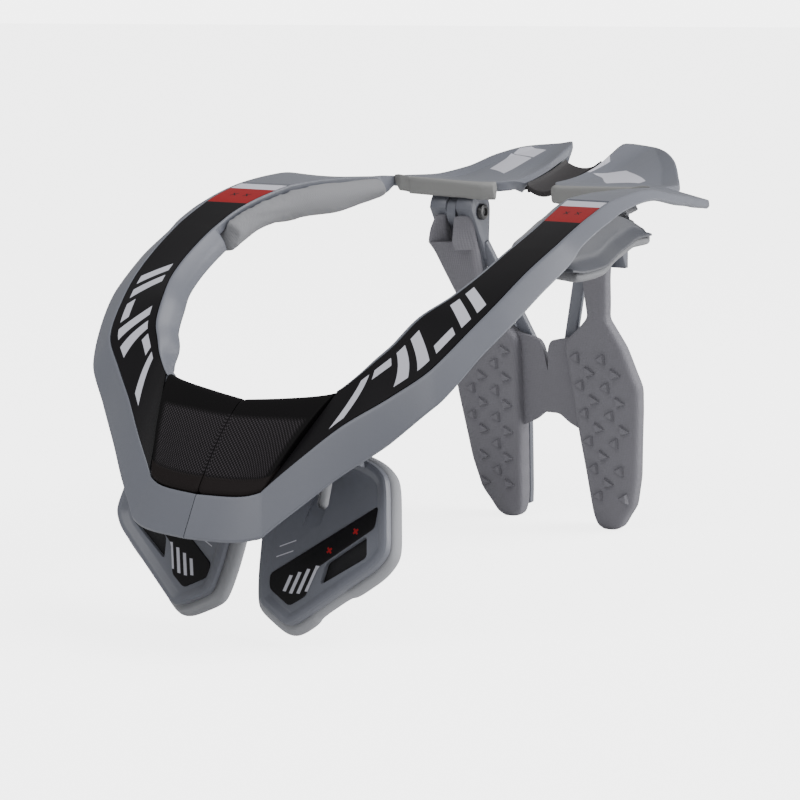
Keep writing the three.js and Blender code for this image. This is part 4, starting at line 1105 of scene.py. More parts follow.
def shoulder_pad_shape():
    """Padded roll: the ring of each section, eased round and carried along the shoulder."""
    rings = smoothed(shoulder_pad_rings(), 70)[3:-2]
    rings = fillet(rings, [1, 3.5, 2.2, 4, 3, 9, 2.5, 1.5, 0.8, 2, 2, 2, 1, 1], 5)
    return Shape().tube(domed(rings, 1.2, 5.0, 6))


def pad_fabric():
    """Light woven cover with a fine thread and slow soiling."""
    c = colours()

    def build(n, shader):
        space = n.object_space()
        x, y, z = n.split(space)
        a = n.math("ADD", x, z)
        out = use_group(n, weave_group(), Across=a, Along=y, Pitch=3600.0)
        grain = use_group(n, grain_group(), Vector=space, Scale=1400.0)
        base = toned(n, grain["Tone"], tuple(c.fabric), 0.07)
        n.put(shader.inputs["Base Color"], n.mix(n.math("MULTIPLY", out["Height"], 0.3), base, (0.2, 0.2, 0.21)))
        shader.inputs["Roughness"].default_value = 0.85
        shader.inputs["Sheen Weight"].default_value = 0.05
        soft = n.bump(grain["Height"], 0.00012)
        n.put(shader.inputs["Normal"], n.bump(out["Height"], 0.00007, 1.0, soft))

    return finish_material("pad_fabric", build)


def bumper_shape():
    """Strip on the wing's edge behind the neck, as a rounded bar along that edge."""
    c = Collar(60, "tip", "flap_tip")
    depth, height = 5.0, 8.6
    lift = lambda out, up: c.lift(c.inner, out - 0.3, up)
    rings = np.stack([
        lift(0, 0.5), lift(-depth * 0.8, 0.3), lift(-depth, -1.4), lift(-depth, 1.6 - height),
        lift(-depth * 0.8, -height), lift(-depth * 0.6, -height), lift(0, -height * 0.4),
    ], axis=1)
    return Shape().tube(domed(fillet(rings, [0.5, 1.2, 1.2, 1.4, 1, 1, 0.5], 4), 0.6, 0.6))


def bridge_shape():
    """Saddle between the wings: each section follows the wings' inner ends, dips in the
    middle by one less the square of the way out, and has a tongue under each wing."""
    c = Collar(3)
    last = int(np.argmin(np.abs(c.at - c.knots[NAMES.index("wing_end")])))
    near = int(np.argmin(np.abs(c.at - c.knots[NAMES.index("flap_tip")])))
    middle = c.over(0.5, 1.4) + c.top * c.droop[:, None]
    ends = [(p + c.top * c.droop[:, None]) for p in (c.inner, c.outer)]
    (front1, back1, mid1), (front0, back0, mid0) = [
        (ends[0][i], ends[1][i], middle[i]) for i in (last, near)]
    edge = front1[0]
    ways = np.array([-1.9, -1.5, -1.06, -0.99, -0.975, -0.9, *np.linspace(-0.8, 0.8, 13), 0.9, 0.975, 0.99, 1.06, 1.5, 1.9])
    rings = []
    for way in ways:
        out = abs(way)
        t = max(out - 1, 0) * edge / max(front0[0] - edge, 9)
        front, back, mid = (front1 + (front0 - front1) * t, back1 + (back0 - back1) * t, mid1 + (mid0 - mid1) * t)
        shares = np.linspace(0.3, 0.86, 12) if out > 0.98 else np.linspace(0.02, 0.9, 12)
        sag = mid[2] - (front[2] + back[2]) / 2
        surface = front[2] + (back[2] - front[2]) * shares + sag * 4 * shares * (1 - shares)
        y = front[1] + (back[1] - front[1]) * shares
        x = way * (front1[0] + (back1[0] - front1[0]) * shares * (out <= 1.0))
        dip = 4.7 if out > 0.98 else 1.7 if out > 0.95 else 2.4 + 3.6 * (1 - way ** 2)
        depth = 7.2 if 0.88 < out else dip + 3.2
        top = np.stack([x, y, surface - dip], axis=1)
        low = np.stack([x, y, surface - depth], axis=1)
        rings.append(np.concatenate([top, low[::-1]]))
    radii = [0.9] + [3] * 10 + [0.9, 0.9] + [3] * 10 + [0.9]
    return Shape().tube(fillet(np.array(rings), radii, 2))


# Chest plates


def plate_matrix():
    """Plate axes: across, up the leaning plate, and depth towards the chest."""
    up = np.array([0, PLATE_LEAN, 1.0])
    up /= np.linalg.norm(up)
    depth = np.array([0, up[2], -up[1]])
    length = scale()[1]
    base = np.array([9.0, -length / 2 + length * 0.076, 0])
    return np.array([[1, 0, 0], up, depth]), base


def on_plate(points):
    axes, base = plate_matrix()
    return np.asarray(points, float) @ axes + base


def plate_xy(shares):
    shares = np.asarray(shares, float)
    return np.stack([shares[:, 0] * PLATE_WIDTH,
                     PLATE_FOOT + shares[:, 1] * (PLATE_HEIGHT - PLATE_FOOT)], axis=1)


def rounded_outline(points, radius, steps=6):
    ring = np.insert(np.asarray(points, float), 2, 0.0, axis=1)[None]
    return fillet(ring, radius, steps)[0][:, :2]


def grown(points, margin):
    """Moves an outline outwards along the mean of the normals of its two edges."""
    before = points - np.roll(points, 1, axis=0)
    after = np.roll(points, -1, axis=0) - points
    normal = lambda e: np.stack([e[:, 1], -e[:, 0]], axis=1) / np.maximum(np.linalg.norm(e, axis=1, keepdims=True), 1e-9)
    mean = normal(before) + normal(after)
    mean /= np.maximum(np.linalg.norm(mean, axis=1, keepdims=True), 1e-9)
    x, y = points.T
    area = np.sum(x * np.roll(y, -1) - y * np.roll(x, -1))
    return points + mean * margin * (1 if area > 0 else -1)


def stepped(corners, steps, radius):
    """Rings of an outline at pairs of margin and depth: its corners move out by the margin
    and are then rounded, so that a deep inset never crosses itself."""
    rings = []
    for margin, depth in steps:
        outline = rounded_outline(grown(corners, margin), max(radius + margin * 0.5, 1.2))
        rings.append(np.insert(outline, 2, depth, axis=1))
    return np.array(rings)


def plate_shape(corners, steps, radius):
    """Rings in plate axes, set on the leaning plate, with a map in plate millimetres."""
    rings = stepped(corners, steps, radius)
    faces = ring_faces(len(rings), rings.shape[1])
    return Shape().add(on_plate(rings.reshape(-1, 3)), faces, rings[..., :2])


def slot_shape():
    """Tool for the slot at the plate's upper edge, long enough for the plate and its pad."""
    corners = plate_xy([(0.37, 0.72), (0.42, 0.69), (0.475, 0.71), (0.475, 0.9), (0.37, 0.9)])
    return plate_shape(corners, ((0, -5), (0, 22)), 1.8)


def ramp_shape():
    """Tool for the recess below the slot: an outline whose depth grows in a straight line
    with the height on the plate, from the face to the middle of the plate's thickness."""
    outline = rounded_outline(plate_xy([(0.3, 0.56), (0.44, 0.6), (0.47, 0.74), (0.35, 0.78)]), 1.2)
    rise = (outline[:, 1] - outline[:, 1].min()) / np.ptp(outline[:, 1])
    rings = np.stack([np.insert(outline, 2, -5.0, axis=1), np.insert(outline, 2, 2.1, axis=1)])
    rings[1, :, 2] += 1.7 * rise
    return Shape().add(on_plate(rings.reshape(-1, 3)), ring_faces(2, rings.shape[1]), rings[..., :2])


def chest_plate_piece(side, turn, material):
    """Plate with a rounded raised border, a recessed face, a window, a slot, and a ramp
    that sinks into the slot."""
    steps = [(-2.0, PLATE_DEPTH), (-0.7, PLATE_DEPTH), (0.0, PLATE_DEPTH - 0.7), (0.0, 1.5), (-0.35, 0.6),
             (-1.2, 0.05), (-2.6, 0.0), (-3.4, 0.3), (-5.4, 1.9), (-6.2, 2.2)]
    shapes = [
        plate_shape(plate_xy(PLATE_OUTLINE), steps, 5.0),
        plate_shape(plate_xy([(0.525, 0.265), (0.545, 0.39), (0.81, 0.575), (0.835, 0.46)]),
                    ((2.2, -5), (2.2, 0.6), (0.4, 2.6), (0.0, 12)), 1.8),
        ramp_shape(),
        slot_shape(),
    ]
    if turn < 0:
        shapes = [shape.mirrored() for shape in shapes]
    piece = shapes[0].object(f"chest_plate_{side}_skin", material)
    for k, shape in enumerate(shapes[1:]):
        full = len(piece.data.vertices)
        pierced(piece, shape.object(f"tool_{k}", material))
        if len(piece.data.vertices) < full * 0.6:
            raise RuntimeError("the plate was lost when its openings were cut")
    piece.data.shade_smooth()
    piece.data.set_sharp_from_angle(angle=math.radians(28))
    return piece


def plate_plastic():
    """Shell plastic with two thin printed lines at the plate's upper inner corner."""
    c = colours()

    def build(n, shader):
        u, v, _ = n.piece_map()
        out = use_group(n, grain_group(), Vector=n.object_space(), Scale=2600.0)
        lines = [area_mask(n, u, v, area) for area in (
            [(10.2, 45.6), (18.6, 49.4), (18.6, 49.9), (10.2, 46.1)],
            [(9.4, 40.8), (18.0, 44.6), (18.0, 45.1), (9.4, 41.3)])]
        base = toned(n, out["Tone"], tuple(c.shell), 0.04)
        n.put(shader.inputs["Base Color"], n.mix(n.math("MAXIMUM", *lines), base, tuple(c.white)))
        n.put(shader.inputs["Roughness"], n.math("MULTIPLY_ADD", out["Tone"], 0.11, 0.37))
        n.put(shader.inputs["Normal"], n.bump(out["Height"], 0.00003))

    return finish_material("plate_plastic", build)


def chest_label_shape():
    """Thin label that follows the plate's face, with a rounded outline."""
    corners = plate_xy([
        (0.12, 0.24), (0.135, 0.19), (0.31, 0.11), (0.425, 0.18), (0.485, 0.36), (0.865, 0.63),
        (0.865, 0.76), (0.12, 0.28)])
    return plate_shape(corners, ((-0.3, 2.15), (0, 2.1), (0, 1.95), (-0.25, 1.75)), 2.0)


def label_print():
    c = colours()

    def build(n, shader):
        u, v, _ = n.piece_map()
        crosses = cross_mask(n, u, v, [(0.0375, 0.0475), (0.0495, 0.0575)], 0.0022, 0.00065)
        bars = bar_mask(n, u, v, [
            (0.0085, 0.0103, 0.0265, 0.034), (0.0123, 0.0141, 0.026, 0.036),
            (0.0161, 0.0179, 0.0265, 0.038), (0.0199, 0.0217, 0.028, 0.040)], -0.3)
        colour = n.mix(crosses, tuple(c.black), tuple(x * 1.3 for x in c.red))
        colour = n.mix(bars, colour, tuple(c.white))
        n.put(shader.inputs["Base Color"], colour)
        out = use_group(n, grain_group(), Vector=n.object_space(), Scale=1800.0)
        n.put(shader.inputs["Roughness"], n.math("MULTIPLY_ADD", out["Tone"], 0.14, 0.32))
        shader.inputs["Specular IOR Level"].default_value = 0.22

    return finish_material("label_print", build)


def chest_pad_shape():
    """Moulded foam behind the plate: its outline stands out past the plate's, its edge is a
    half circle in depth, and its lower outer side is set in between two short ramps."""
    corners = plate_xy(PLATE_OUTLINE)
    a, b = corners[6], corners[7]
    inset = [0.2, 0.26, 0.62, 0.68]
    extra = [a + (b - a) * t for t in inset]
    corners = np.concatenate([corners[:7], extra, corners[7:]])
    side = np.array([(b - a)[1], -(b - a)[0]]) / np.linalg.norm(b - a)
    margin, front, depth = 3.2, PLATE_DEPTH + GAP, 8.0
    angle = np.linspace(-math.pi / 2, math.pi / 2, 13)
    steps = [(-9.0, front + 0.4)] + [
        (margin - 3.2 + 3.2 * math.cos(a), front + depth / 2 + depth / 2 * math.sin(a)) for a in angle]
    steps += [(-9.0, front + depth)]
    rings = []
    for m, d in steps:
        moved = grown(corners, m)
        moved[8:10] -= side * 1.7
        ring = rounded_outline(moved, 6.0 if m > -4 else 4.0) + [-1.2, -1.2]
        ring[:, 1] = np.maximum(ring[:, 1], 1.5)
        rings.append(np.insert(ring, 2, d, axis=1))
    rings = np.array(rings)
    return Shape().add(on_plate(rings.reshape(-1, 3)), ring_faces(len(rings), rings.shape[1]), rings[..., :2])


def chest_foam():
    """Light foam, painted near black as shade where the plate's window shows it."""
    c = colours()
    window = plate_xy([(0.51, 0.25), (0.53, 0.4), (0.825, 0.6), (0.85, 0.45)])

    def build(n, shader):
        u, v, _ = n.piece_map()
        out = use_group(n, grain_group(), Vector=n.object_space(), Scale=1500.0)
        base = toned(n, out["Tone"], tuple(c.foam), 0.06)
        # painted shade: inside the plate's window the foam is coloured near black to stand for the shade in the
        # opening
        dark = area_mask(n, u, v, [tuple(map(float, corner)) for corner in window])
        n.put(shader.inputs["Base Color"], n.mix(dark, base, (0.006, 0.006, 0.008)))
        n.put(shader.inputs["Roughness"], n.math("MULTIPLY_ADD", out["Tone"], 0.1, 0.75))
        n.put(shader.inputs["Normal"], n.bump(out["Height"], 0.00006))

    return finish_material("chest_foam", build)


# Hinges and strut


def ear_outline():
    """Side view of an ear: an arc over the bolt, running down and back into the neck."""
    angle = np.linspace(0.15, math.pi + 0.15, 22)
    arc = np.stack([HINGE[1] + EAR_RADIUS * 0.85 * np.cos(math.pi - angle) * -1,
                    HINGE[2] + EAR_RADIUS * np.sin(angle)], axis=1)
    return arc


def leg_rows():
    rows = np.array(LEG)
    z = rows[:, 0] * HINGE[2]
    inner = np.stack([rows[:, 1] * STANCE, HINGE[1] - rows[:, 3] * EAR_RADIUS, z], axis=1)
    outer = np.stack([rows[:, 2] * STANCE, HINGE[1] - rows[:, 4] * EAR_RADIUS, z], axis=1)
    back = np.array([0, 1.0, 0])
    inner_rear = inner + back * (rows[:, 5] * PAD_DEPTH)[:, None]
    outer_rear = outer + back * (rows[:, 6] * PAD_DEPTH)[:, None]
    return inner, outer, inner_rear, outer_rear


def leg_at(z):
    """Corner points of the leg at any height, straight between the table's rows."""
    rows = leg_rows()
    heights = rows[0][::-1, 2]
    return [np.stack([np.interp(z, heights, r[::-1, k]) for k in range(3)], axis=-1) for r in rows]


def leg_rings(z, chamfer=2.2):
    inner, outer, inner_rear, outer_rear = leg_at(np.asarray(z, float))
    span = np.linalg.norm(outer - inner, axis=1, keepdims=True)
    back = np.array([0, chamfer, 0])
    return np.stack([
        inner + back, inner + (outer - inner) * chamfer / span,
        outer + (inner - outer) * chamfer / span, outer + back, outer_rear, inner_rear], axis=1)


def stud_spots():
    """Staggered rows of spots down a leg, two to a row where they fit."""
    top = 0.56 * HINGE[2]
    rows = int((top - 0.07 * HINGE[2]) / 7.75)
    spots = []
    for i in range(rows + 1):
        z = top - i * 7.75
        inner, outer, _, _ = leg_at(np.array([z]))
        for k in (0, 1):
            x = inner[0, 0] + 6.2 + 15.5 * (0.55 * (i % 2) + k)
            if x + 5.5 < outer[0, 0]:
                spots.append((x, z, 1 if i % 2 else -1))
    return spots


def stud_shape(x, z, turn):
    """Low triangular stud, raised most at its straight side and flush at its point."""
    inner, outer, _, _ = leg_at(np.array([z - 1, z, z + 1.0]))
    slope = (inner[2, 1] - inner[0, 1]) / 2
    y = inner[1, 1] + (outer[1, 1] - inner[1, 1]) * (x - inner[1, 0]) / (outer[1, 0] - inner[1, 0])
    h = 3.15
    plan = np.array([(-h * turn, h), (-h * turn, -h), (h * turn, -0.2 * h)])
    lift = np.array([2.0, 2.0, 1.2])
    base = np.stack([x + plan[:, 0], y + slope * plan[:, 1] + 0.6, z + plan[:, 1]], axis=1)
    inset = plan * 0.72
    top = np.stack([x + inset[:, 0], y + slope * inset[:, 1] - lift, z + inset[:, 1]], axis=1)
    rings = fillet(np.array([base, base - [0, 0.6, 0], top, top.mean(0) + (top - top.mean(0)) * 0.8 - [0, 0.1, 0]]),
                   [0.35, 0.35, 0.35], 2)
    return Shape().tube(rings)


def strut_leg_shape():
    """One leg's pad: straight runs between the table's rows with eased kinks and edges,
    split at the top into two tips round the hinge."""
    shape = Shape()
    slot_floor = 0.905 * HINGE[2]
    knots = np.array([row[0] for row in LEG])[::-1] * HINGE[2]
    z = knots[knots <= slot_floor + 0.01]
    rings = bent(leg_rings(z), 3.0)
    shape.tube(domed(fillet(rings, [1.5, 1.5, 1.5, 1.5, 1.2, 1.2], 4), 0.0, 0.0))
    z = np.array([slot_floor - 4, *knots[knots > slot_floor - 0.01]])
    full = leg_rings(z)
    half = 3.75
    left, right = full.copy(), full.copy()
    left[:, :, 0] = np.minimum(left[:, :, 0], HINGE[0] - half)
    right[:, :, 0] = np.maximum(right[:, :, 0], HINGE[0] + half)
    for rings in (left, right):
        shape.tube(domed(fillet(bent(rings, 2.0), [1.2] * 6, 4), 0.0, 1.6))
    for spot in stud_spots():
        shape.joined(stud_shape(*spot))
    return shape


def web_shape():
    """Web between the legs, notched above and arched below."""
    width = 0.33 * STANCE
    h = HINGE[2]
    half = [(0, 0.495 * h), (0.08 * width, 0.575 * h), (0.2 * width, 0.6 * h), (width, 0.62 * h),
            (width, 0.31 * h), (0.55 * width, 0.335 * h), (0.25 * width, 0.362 * h)]
    outline = np.array(half + [(-x, z) for x, z in half[:0:-1]])
    front = leg_at(outline[:, 1])[0][:, 1] + 0.55 * PAD_DEPTH
    rings = []
    for d in (0, 3.5):
        rings.append(np.stack([outline[:, 0], front + d, outline[:, 1]], axis=1))
    rings = fillet(np.array(rings), 2.0, 4)
    shape = Shape()
    return shape.tube(rings)


def strut_foam():
    """Dark foam cloth with a fine diagonal weave."""
    c = colours()

    def build(n, shader):
        space = n.object_space()
        x, _, z = n.split(space)
        out = use_group(n, weave_group(), Across=n.math("ADD", x, z), Along=n.math("SUBTRACT", x, z), Pitch=3300.0)
        grain = use_group(n, grain_group(), Vector=space, Scale=2200.0)
        base = toned(n, grain["Tone"], tuple(c.strut_foam), 0.06)
        n.put(shader.inputs["Base Color"], n.mix(n.math("MULTIPLY", out["Height"], 0.35), base, tuple(v * 0.72 for v in c.strut_foam)))
        shader.inputs["Roughness"].default_value = 0.72
        soft = n.bump(grain["Height"], 0.00005)
        n.put(shader.inputs["Normal"], n.bump(out["Height"], 0.00007, 1.0, soft))

    return finish_material("strut_foam", build)


def frame_shape():
    """Hard strut: leg plates behind the pads, hinge ears, diagonal arms and a middle."""
    half = Shape()
    knots = np.array([row[0] for row in LEG])[::-1] * HINGE[2]
    z = knots[(knots > 0.02 * HINGE[2]) & (knots < 0.93 * HINGE[2])]
    _, _, a, b = leg_at(z)
    gap = np.array([0, GAP, 0])
    deep = np.array([0, SHELL, 0])
    inset, slope = np.array([0.8, 0, 0]), np.array([3.4, 0, 0])
    rings = np.stack([a + gap, b + gap - inset, b + gap + deep - slope, a + gap + deep], axis=1)
    half.tube(domed(fillet(bent(rings, 3.0), [0.4, 0.4, 1.6, 1.2], 4), 2.0, 0.0))
    low = 0.85 * HINGE[2]
    _, _, neck_in, neck_out = leg_at(np.array([0.86 * HINGE[2]]))
    rear = max(neck_in[0, 1], neck_out[0, 1]) + SHELL
    _, _, top_in, _ = leg_at(np.array([0.9 * HINGE[2]]))
    angle = np.linspace(0.15, math.pi + 0.1, 20)
    arc = np.stack([HINGE[1] - EAR_RADIUS * 0.85 * np.cos(angle), HINGE[2] + EAR_RADIUS * np.sin(angle)], axis=1)
    outline = np.concatenate([arc, [[rear, low + 12], [rear, low], [neck_in[0, 1] + 2, low],
                                    [top_in[0, 1] + GAP + 0.5, low + 8]]])
    inner = HINGE[0] - LUG_WIDTH / 2 - GAP - EAR_WIDTH
    outer = HINGE[0] + LUG_WIDTH / 2 + GAP
    for x0 in (inner, outer):
        rings = []
        for x, m in ((x0, -1.0), (x0 + 0.3, -0.3), (x0 + 1.0, 0), (x0 + EAR_WIDTH - 1.0, 0),
                     (x0 + EAR_WIDTH - 0.3, -0.3), (x0 + EAR_WIDTH, -1.0)):
            ring = grown(outline, m)
            rings.append(np.insert(ring, 0, x, axis=1))
        half.tube(np.array(rings))
    start = np.array([HINGE[0] - LUG_WIDTH / 2 - EAR_WIDTH * 0.8, HINGE[1] + 6, 0.9 * HINGE[2]])
    rear_y = leg_at(np.array([0.56 * HINGE[2]]))[2][0, 1] + GAP
    end = np.array([0.17 * STANCE, rear_y + SHELL / 2, 0.55 * HINGE[2]])
    way = (end - start) / np.linalg.norm(end - start)
    side = np.cross(np.cross([1, 0, 0], way), way)
    side /= np.linalg.norm(side)
    deep = np.cross(way, side)
    square = [(1, 1), (1, -1), (-1, -1), (-1, 1)]
    ring = lambda p: [p - side * 3.5 * a + deep * 2 * b for a, b in square]
    half.tube(fillet(np.array([ring(start), ring(end)]), 1.2, 4))
    shape = Shape().joined(half).joined(half.mirrored())
    width = 0.36 * STANCE
    top, bottom = 0.58 * HINGE[2], 0.385 * HINGE[2]
    outline = np.array([(-width, top), (-0.2 * width, top - 5), (0, top - 15), (0.2 * width, top - 5),
                        (width, top), (width, bottom), (-width, bottom)])
    rear = leg_at(outline[:, 1])[2][:, 1] + GAP
    rings = [np.stack([outline[:, 0], rear + d, outline[:, 1]], axis=1) for d in (0, SHELL)]
    shape.tube(fillet(np.array(rings), 1.5, 4))
    return shape


def hinge_shape():
    """Lug under the wing: a foot, a stem and a round eye between the ears."""
    shape = Shape()
    half = LUG_WIDTH / 2
    angle = np.linspace(0, 2 * math.pi, 33)[:-1]
    radius = EAR_RADIUS - 2.5
    eye = np.stack([HINGE[1] + radius * np.cos(angle), HINGE[2] + radius * np.sin(angle)], axis=1)
    shape.tube(prism(eye, HINGE[0] - half, HINGE[0] + half))
    roof = 185.9
    stem = [(HINGE[1] - 3, HINGE[2]), (HINGE[1] + 6, HINGE[2]), (HINGE[1] + 6, roof), (HINGE[1] - 3, roof)]
    shape.tube(prism(stem, HINGE[0] - half, HINGE[0] + half))
    foot = [(HINGE[1] - 3, roof - 1.6), (HINGE[1] + 12, roof - 1.6), (HINGE[1] + 12, roof), (HINGE[1] - 3, roof)]
    shape.tube(prism(foot, HINGE[0] - 9, HINGE[0] + 9))
    return shape


def bolt_shape():
    """Hinge bolt: a shank with a domed, socketed head inside and a nut outside."""
    shape = Shape()
    inner = HINGE[0] - LUG_WIDTH / 2 - GAP - EAR_WIDTH
    outer = HINGE[0] + LUG_WIDTH / 2 + GAP + EAR_WIDTH
    angle = np.linspace(0, 2 * math.pi, 33)[:-1]

    def turned(stations_, sides=None):
        a = angle if sides is None else np.linspace(0, 2 * math.pi, sides + 1)[:-1]
        return np.array([np.stack([np.full(len(a), x), HINGE[1] + r * np.cos(a), HINGE[2] + r * np.sin(a)], axis=1)
                         for x, r in stations_])

    shape.tube(turned([(inner - 1, 2.5), (outer + 1, 2.5)]))
    x = inner - GAP
    shape.tube(turned([(x, 4.4), (x - 1.2, 4.4), (x - 2.0, 4.0), (x - 2.4, 3.2), (x - 2.4, 2.2), (x - 1.4, 1.9), (x - 1.4, 0.2)]))
    x = outer + GAP
    shape.tube(turned([(x, 4.4), (x + 1.8, 4.4), (x + 2.4, 3.6)], 6))
    return shape


# Strength of the sky as it lights the object, and as the camera sees it.
SKY = 0.45
BACKDROP = 5.0


# Operators


class BraceOperator:
    """Shared settings of the brace's operators."""

    bl_options = {"REGISTER", "UNDO"}


class BRACE_OT_collar(BraceOperator, bpy.types.Operator):
    """Two collar halves with their skirts, inner lips and rear wings"""

    bl_idname = "brace.collar"
    bl_label = "Collar"

    def execute(self, context):
        both(collar_shape(), "collar", collar_plastic(), "shell", angle=32)
        return {"FINISHED"}


class BRACE_OT_bands(BraceOperator, bpy.types.Operator):
    """Printed bands on top of the arms"""

    bl_idname = "brace.bands"
    bl_label = "Printed bands"

    def execute(self, context):
        shape, length, _ = band_shape()
        both(shape, "top_band", band_print(length), "print")
        return {"FINISHED"}


class BRACE_OT_neck_pads(BraceOperator, bpy.types.Operator):
    """Two halves of the neck pad at the chest"""

    bl_idname = "brace.neck_pads"
    bl_label = "Neck pads"

    def execute(self, context):
        for piece, _ in both(neck_pad_shape(), "neck_pad", neck_mesh(), "neck_mesh"):
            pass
        return {"FINISHED"}


class BRACE_OT_shoulder_pads(BraceOperator, bpy.types.Operator):
    """Padded fabric rolls under the shoulders"""

    bl_idname = "brace.shoulder_pads"
    bl_label = "Shoulder pads"

    def execute(self, context):
        for piece, _ in both(shoulder_pad_shape(), "shoulder_pad", pad_fabric(), "pad_fabric"):
            puffed(piece, 1.6, 0.2, 0.45)
        return {"FINISHED"}


class BRACE_OT_shoulder_trays(BraceOperator, bpy.types.Operator):
    """Hard trays over the shoulder pads"""

    bl_idname = "brace.shoulder_trays"
    bl_label = "Shoulder trays"

    def execute(self, context):
        # painted shade: the tray takes the shell colour at 0.48 to stand for the shade under the collar's wings
        tray_painted_shade = tuple(x * 0.48 for x in colours().shell)
        material = moulded("tray_plastic_painted_shade", tray_painted_shade, rough=0.45)
        both(tray_shape(), "shoulder_tray", material, "shell")
        return {"FINISHED"}


class BRACE_OT_rear(BraceOperator, bpy.types.Operator):
    """Bumper strips behind the neck and the flexible bridge between the wings"""

    bl_idname = "brace.rear"
    bl_label = "Bumpers and bridge"

    def execute(self, context):
        rubber = moulded("bumper_rubber", tuple(colours().bumper), rough=0.7, grain=1800.0, depth=0.00004)
        both(bumper_shape(), "rear_bumper", rubber, "bumper")
        black = moulded("bridge_rubber", (0.018, 0.0155, 0.017), rough=0.6, grain=1500.0, depth=0.00005)
        piece = bridge_shape().object("rear_bridge_skin", black)
        place(piece, "rear_bridge", "brace")
        return {"FINISHED"}


class BRACE_OT_chest(BraceOperator, bpy.types.Operator):
    """Chest plates with their labels and foam pads"""

    bl_idname = "brace.chest"
    bl_label = "Chest plates"

    def execute(self, context):
        for side, turn in SIDES:
            piece = chest_plate_piece(side, turn, plate_plastic())
            place(piece, f"chest_plate_{side}", "brace")
        both(chest_label_shape(), "chest_label", label_print(), "print")
        for piece, side in both(chest_pad_shape(), "chest_pad", chest_foam(), "pad_fabric"):
            tool = slot_shape() if side == "left" else slot_shape().mirrored()
            full = len(piece.data.vertices)
            pierced(piece, tool.object("slot_tool", chest_foam()))
            if len(piece.data.vertices) < full * 0.6:
                raise RuntimeError("the pad was lost when its slot was cut")
            piece.data.shade_smooth()
            piece.data.set_sharp_from_angle(angle=math.radians(32))
        return {"FINISHED"}


class BRACE_OT_hinges(BraceOperator, bpy.types.Operator):
    """Hinge lugs and bolts under the wings"""

    bl_idname = "brace.hinges"
    bl_label = "Hinges"

    def execute(self, context):
        both(hinge_shape(), "hinge_lug", shell_plastic(), "shell")
        steel = moulded("bolt_steel", (0.03, 0.03, 0.032), rough=0.32, grain=900.0, depth=0.00001)
        both(bolt_shape(), "hinge_bolt", steel, "bolt")
        return {"FINISHED"}


class BRACE_OT_strut(BraceOperator, bpy.types.Operator):
    """Hard back strut with its ears and arms, and the studded pads on it"""

    bl_idname = "brace.strut"
    bl_label = "Back strut"

    def execute(self, context):
        piece = frame_shape().object("strut_frame_skin", shell_plastic())
        place(piece, "strut_frame", "strut")
        leg = strut_leg_shape()
        shape = Shape().joined(leg).joined(leg.mirrored()).joined(web_shape())
        piece = shape.object("strut_pad_skin", strut_foam())
        place(piece, "strut_pad", "strut")
        return {"FINISHED"}


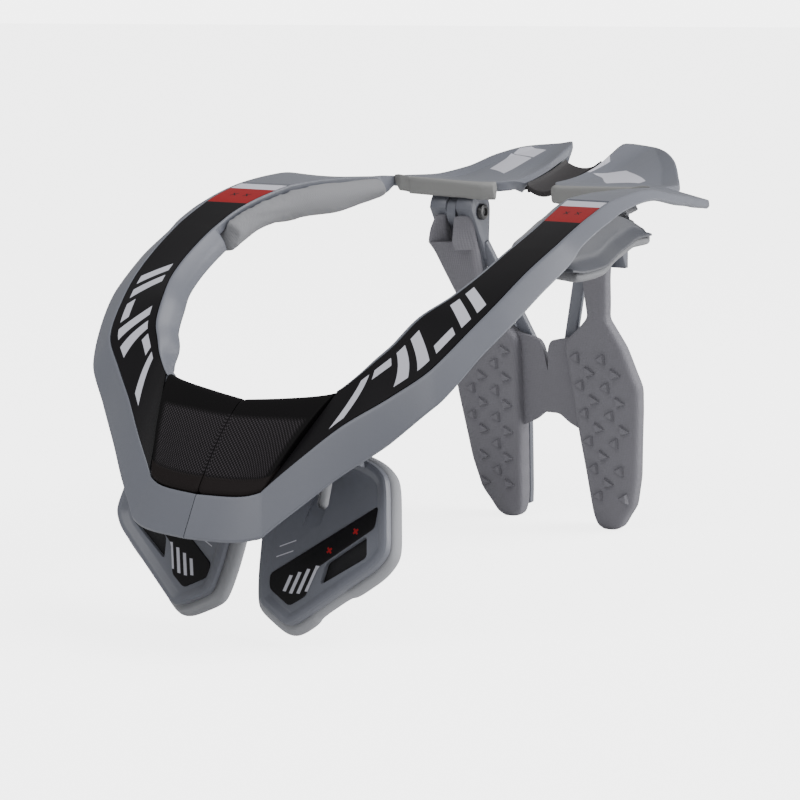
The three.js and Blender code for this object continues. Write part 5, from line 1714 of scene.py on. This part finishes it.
class BRACE_OT_stage(BraceOperator, bpy.types.Operator):
    """Pale floor, soft lights and the camera"""

    bl_idname = "brace.stage"
    bl_label = "Stage"

    def execute(self, context):
        scene = context.scene
        floor_finish = bpy.data.materials.new("floor_paper")
        floor_finish.use_nodes = True
        shader = floor_finish.node_tree.nodes["Principled BSDF"]
        shader.inputs["Base Color"].default_value = (0.75, 0.75, 0.75, 1)
        shader.inputs["Roughness"].default_value = 0.9
        shader.inputs["Emission Color"].default_value = (1, 1, 1, 1)
        n = Nodes(floor_finish.node_tree)
        seen = n.new("ShaderNodeLightPath").outputs["Is Camera Ray"]
        n.put(shader.inputs["Emission Strength"], n.math("MULTIPLY", seen, 3.6))
        mesh = bpy.data.meshes.new("floor")
        reach = 30.0
        corners = [(-reach, -reach, 0), (reach, -reach, 0), (reach, reach, 0), (-reach, reach, 0)]
        mesh.from_pydata(corners, [], [(0, 1, 2, 3)])
        mesh.materials.append(floor_finish)
        floor = bpy.data.objects.new("floor", mesh)
        scene.collection.objects.link(floor)

        world = bpy.data.worlds.new("studio")
        scene.world = world
        world.use_nodes = True
        n = Nodes(world.node_tree)
        sky = world.node_tree.nodes["Background"]
        sky.inputs[0].default_value = (1, 1, 1, 1)
        seen = n.new("ShaderNodeLightPath").outputs["Is Camera Ray"]
        n.put(sky.inputs[1], n.math("MULTIPLY_ADD", seen, BACKDROP - SKY, SKY))

        for name, spot, size, power, aim in (
            ("front", (-0.1, -1.2, 1.5), 1.0, 15, (0, 0, 0.1)),
            ("right", (1.15, 0.75, 0.45), 0.8, 17, (0, 0, 0.1)),
        ):
            lamp = bpy.data.lights.new(name, "AREA")
            lamp.size = size
            lamp.energy = power
            light = bpy.data.objects.new(name, lamp)
            way = Vector(aim) - Vector(spot)
            light.matrix_world = Matrix.Translation(spot) @ way.to_track_quat("-Z", "Y").to_matrix().to_4x4()
            scene.collection.objects.link(light)

        sun = bpy.data.lights.new("day", "SUN")
        sun.energy = 2.2
        sun.angle = math.radians(35)
        light = bpy.data.objects.new("day", sun)
        light.matrix_world = Vector((0.65, 0.3, 1.0)).to_track_quat("Z", "Y").to_matrix().to_4x4()
        scene.collection.objects.link(light)

        view = bpy.data.cameras.new("camera")
        view.sensor_width = 36.0
        view.lens = 105.116
        camera = bpy.data.objects.new("camera", view)
        az, el = math.radians(34.086), math.radians(9.541)
        back = Vector((math.sin(az) * math.cos(el), -math.cos(az) * math.cos(el), math.sin(el)))
        turn = (-back).to_track_quat("-Z", "Y").to_matrix().to_4x4()
        camera.matrix_world = Matrix.Translation((0.6354, -0.95605, 0.2807)) @ turn
        scene.collection.objects.link(camera)
        scene.camera = camera
        return {"FINISHED"}


OPERATORS = (
    BRACE_OT_collar, BRACE_OT_bands, BRACE_OT_neck_pads, BRACE_OT_shoulder_pads,
    BRACE_OT_shoulder_trays, BRACE_OT_rear, BRACE_OT_chest, BRACE_OT_hinges, BRACE_OT_strut,
    BRACE_OT_stage,
)


class BRACE_PT_panel(bpy.types.Panel):
    """Sizes, colours and steps of the neck brace"""

    bl_label = "Neck brace"
    bl_idname = "BRACE_PT_panel"
    bl_space_type = "VIEW_3D"
    bl_region_type = "UI"
    bl_category = "Brace"

    def draw(self, context):
        layout = self.layout
        for group in (context.scene.brace_sizes, context.scene.brace_colours):
            for key in group.__annotations__:
                layout.prop(group, key)
        for operator in OPERATORS:
            layout.operator(operator.bl_idname)


CLASSES = (BraceSizes, BraceColours, *OPERATORS, BRACE_PT_panel)


def register():
    for cls in CLASSES:
        bpy.utils.register_class(cls)
    bpy.types.Scene.brace_sizes = PointerProperty(type=BraceSizes)
    bpy.types.Scene.brace_colours = PointerProperty(type=BraceColours)


def unregister():
    del bpy.types.Scene.brace_colours
    del bpy.types.Scene.brace_sizes
    for cls in reversed(CLASSES):
        bpy.utils.unregister_class(cls)


def main():
    register()
    bpy.ops.brace.stage()
    bpy.ops.brace.collar()
    bpy.ops.brace.bands()
    bpy.ops.brace.neck_pads()
    bpy.ops.brace.shoulder_pads()
    bpy.ops.brace.shoulder_trays()
    bpy.ops.brace.rear()
    bpy.ops.brace.chest()
    bpy.ops.brace.hinges()
    bpy.ops.brace.strut()


if __name__ == "__main__":
    main()
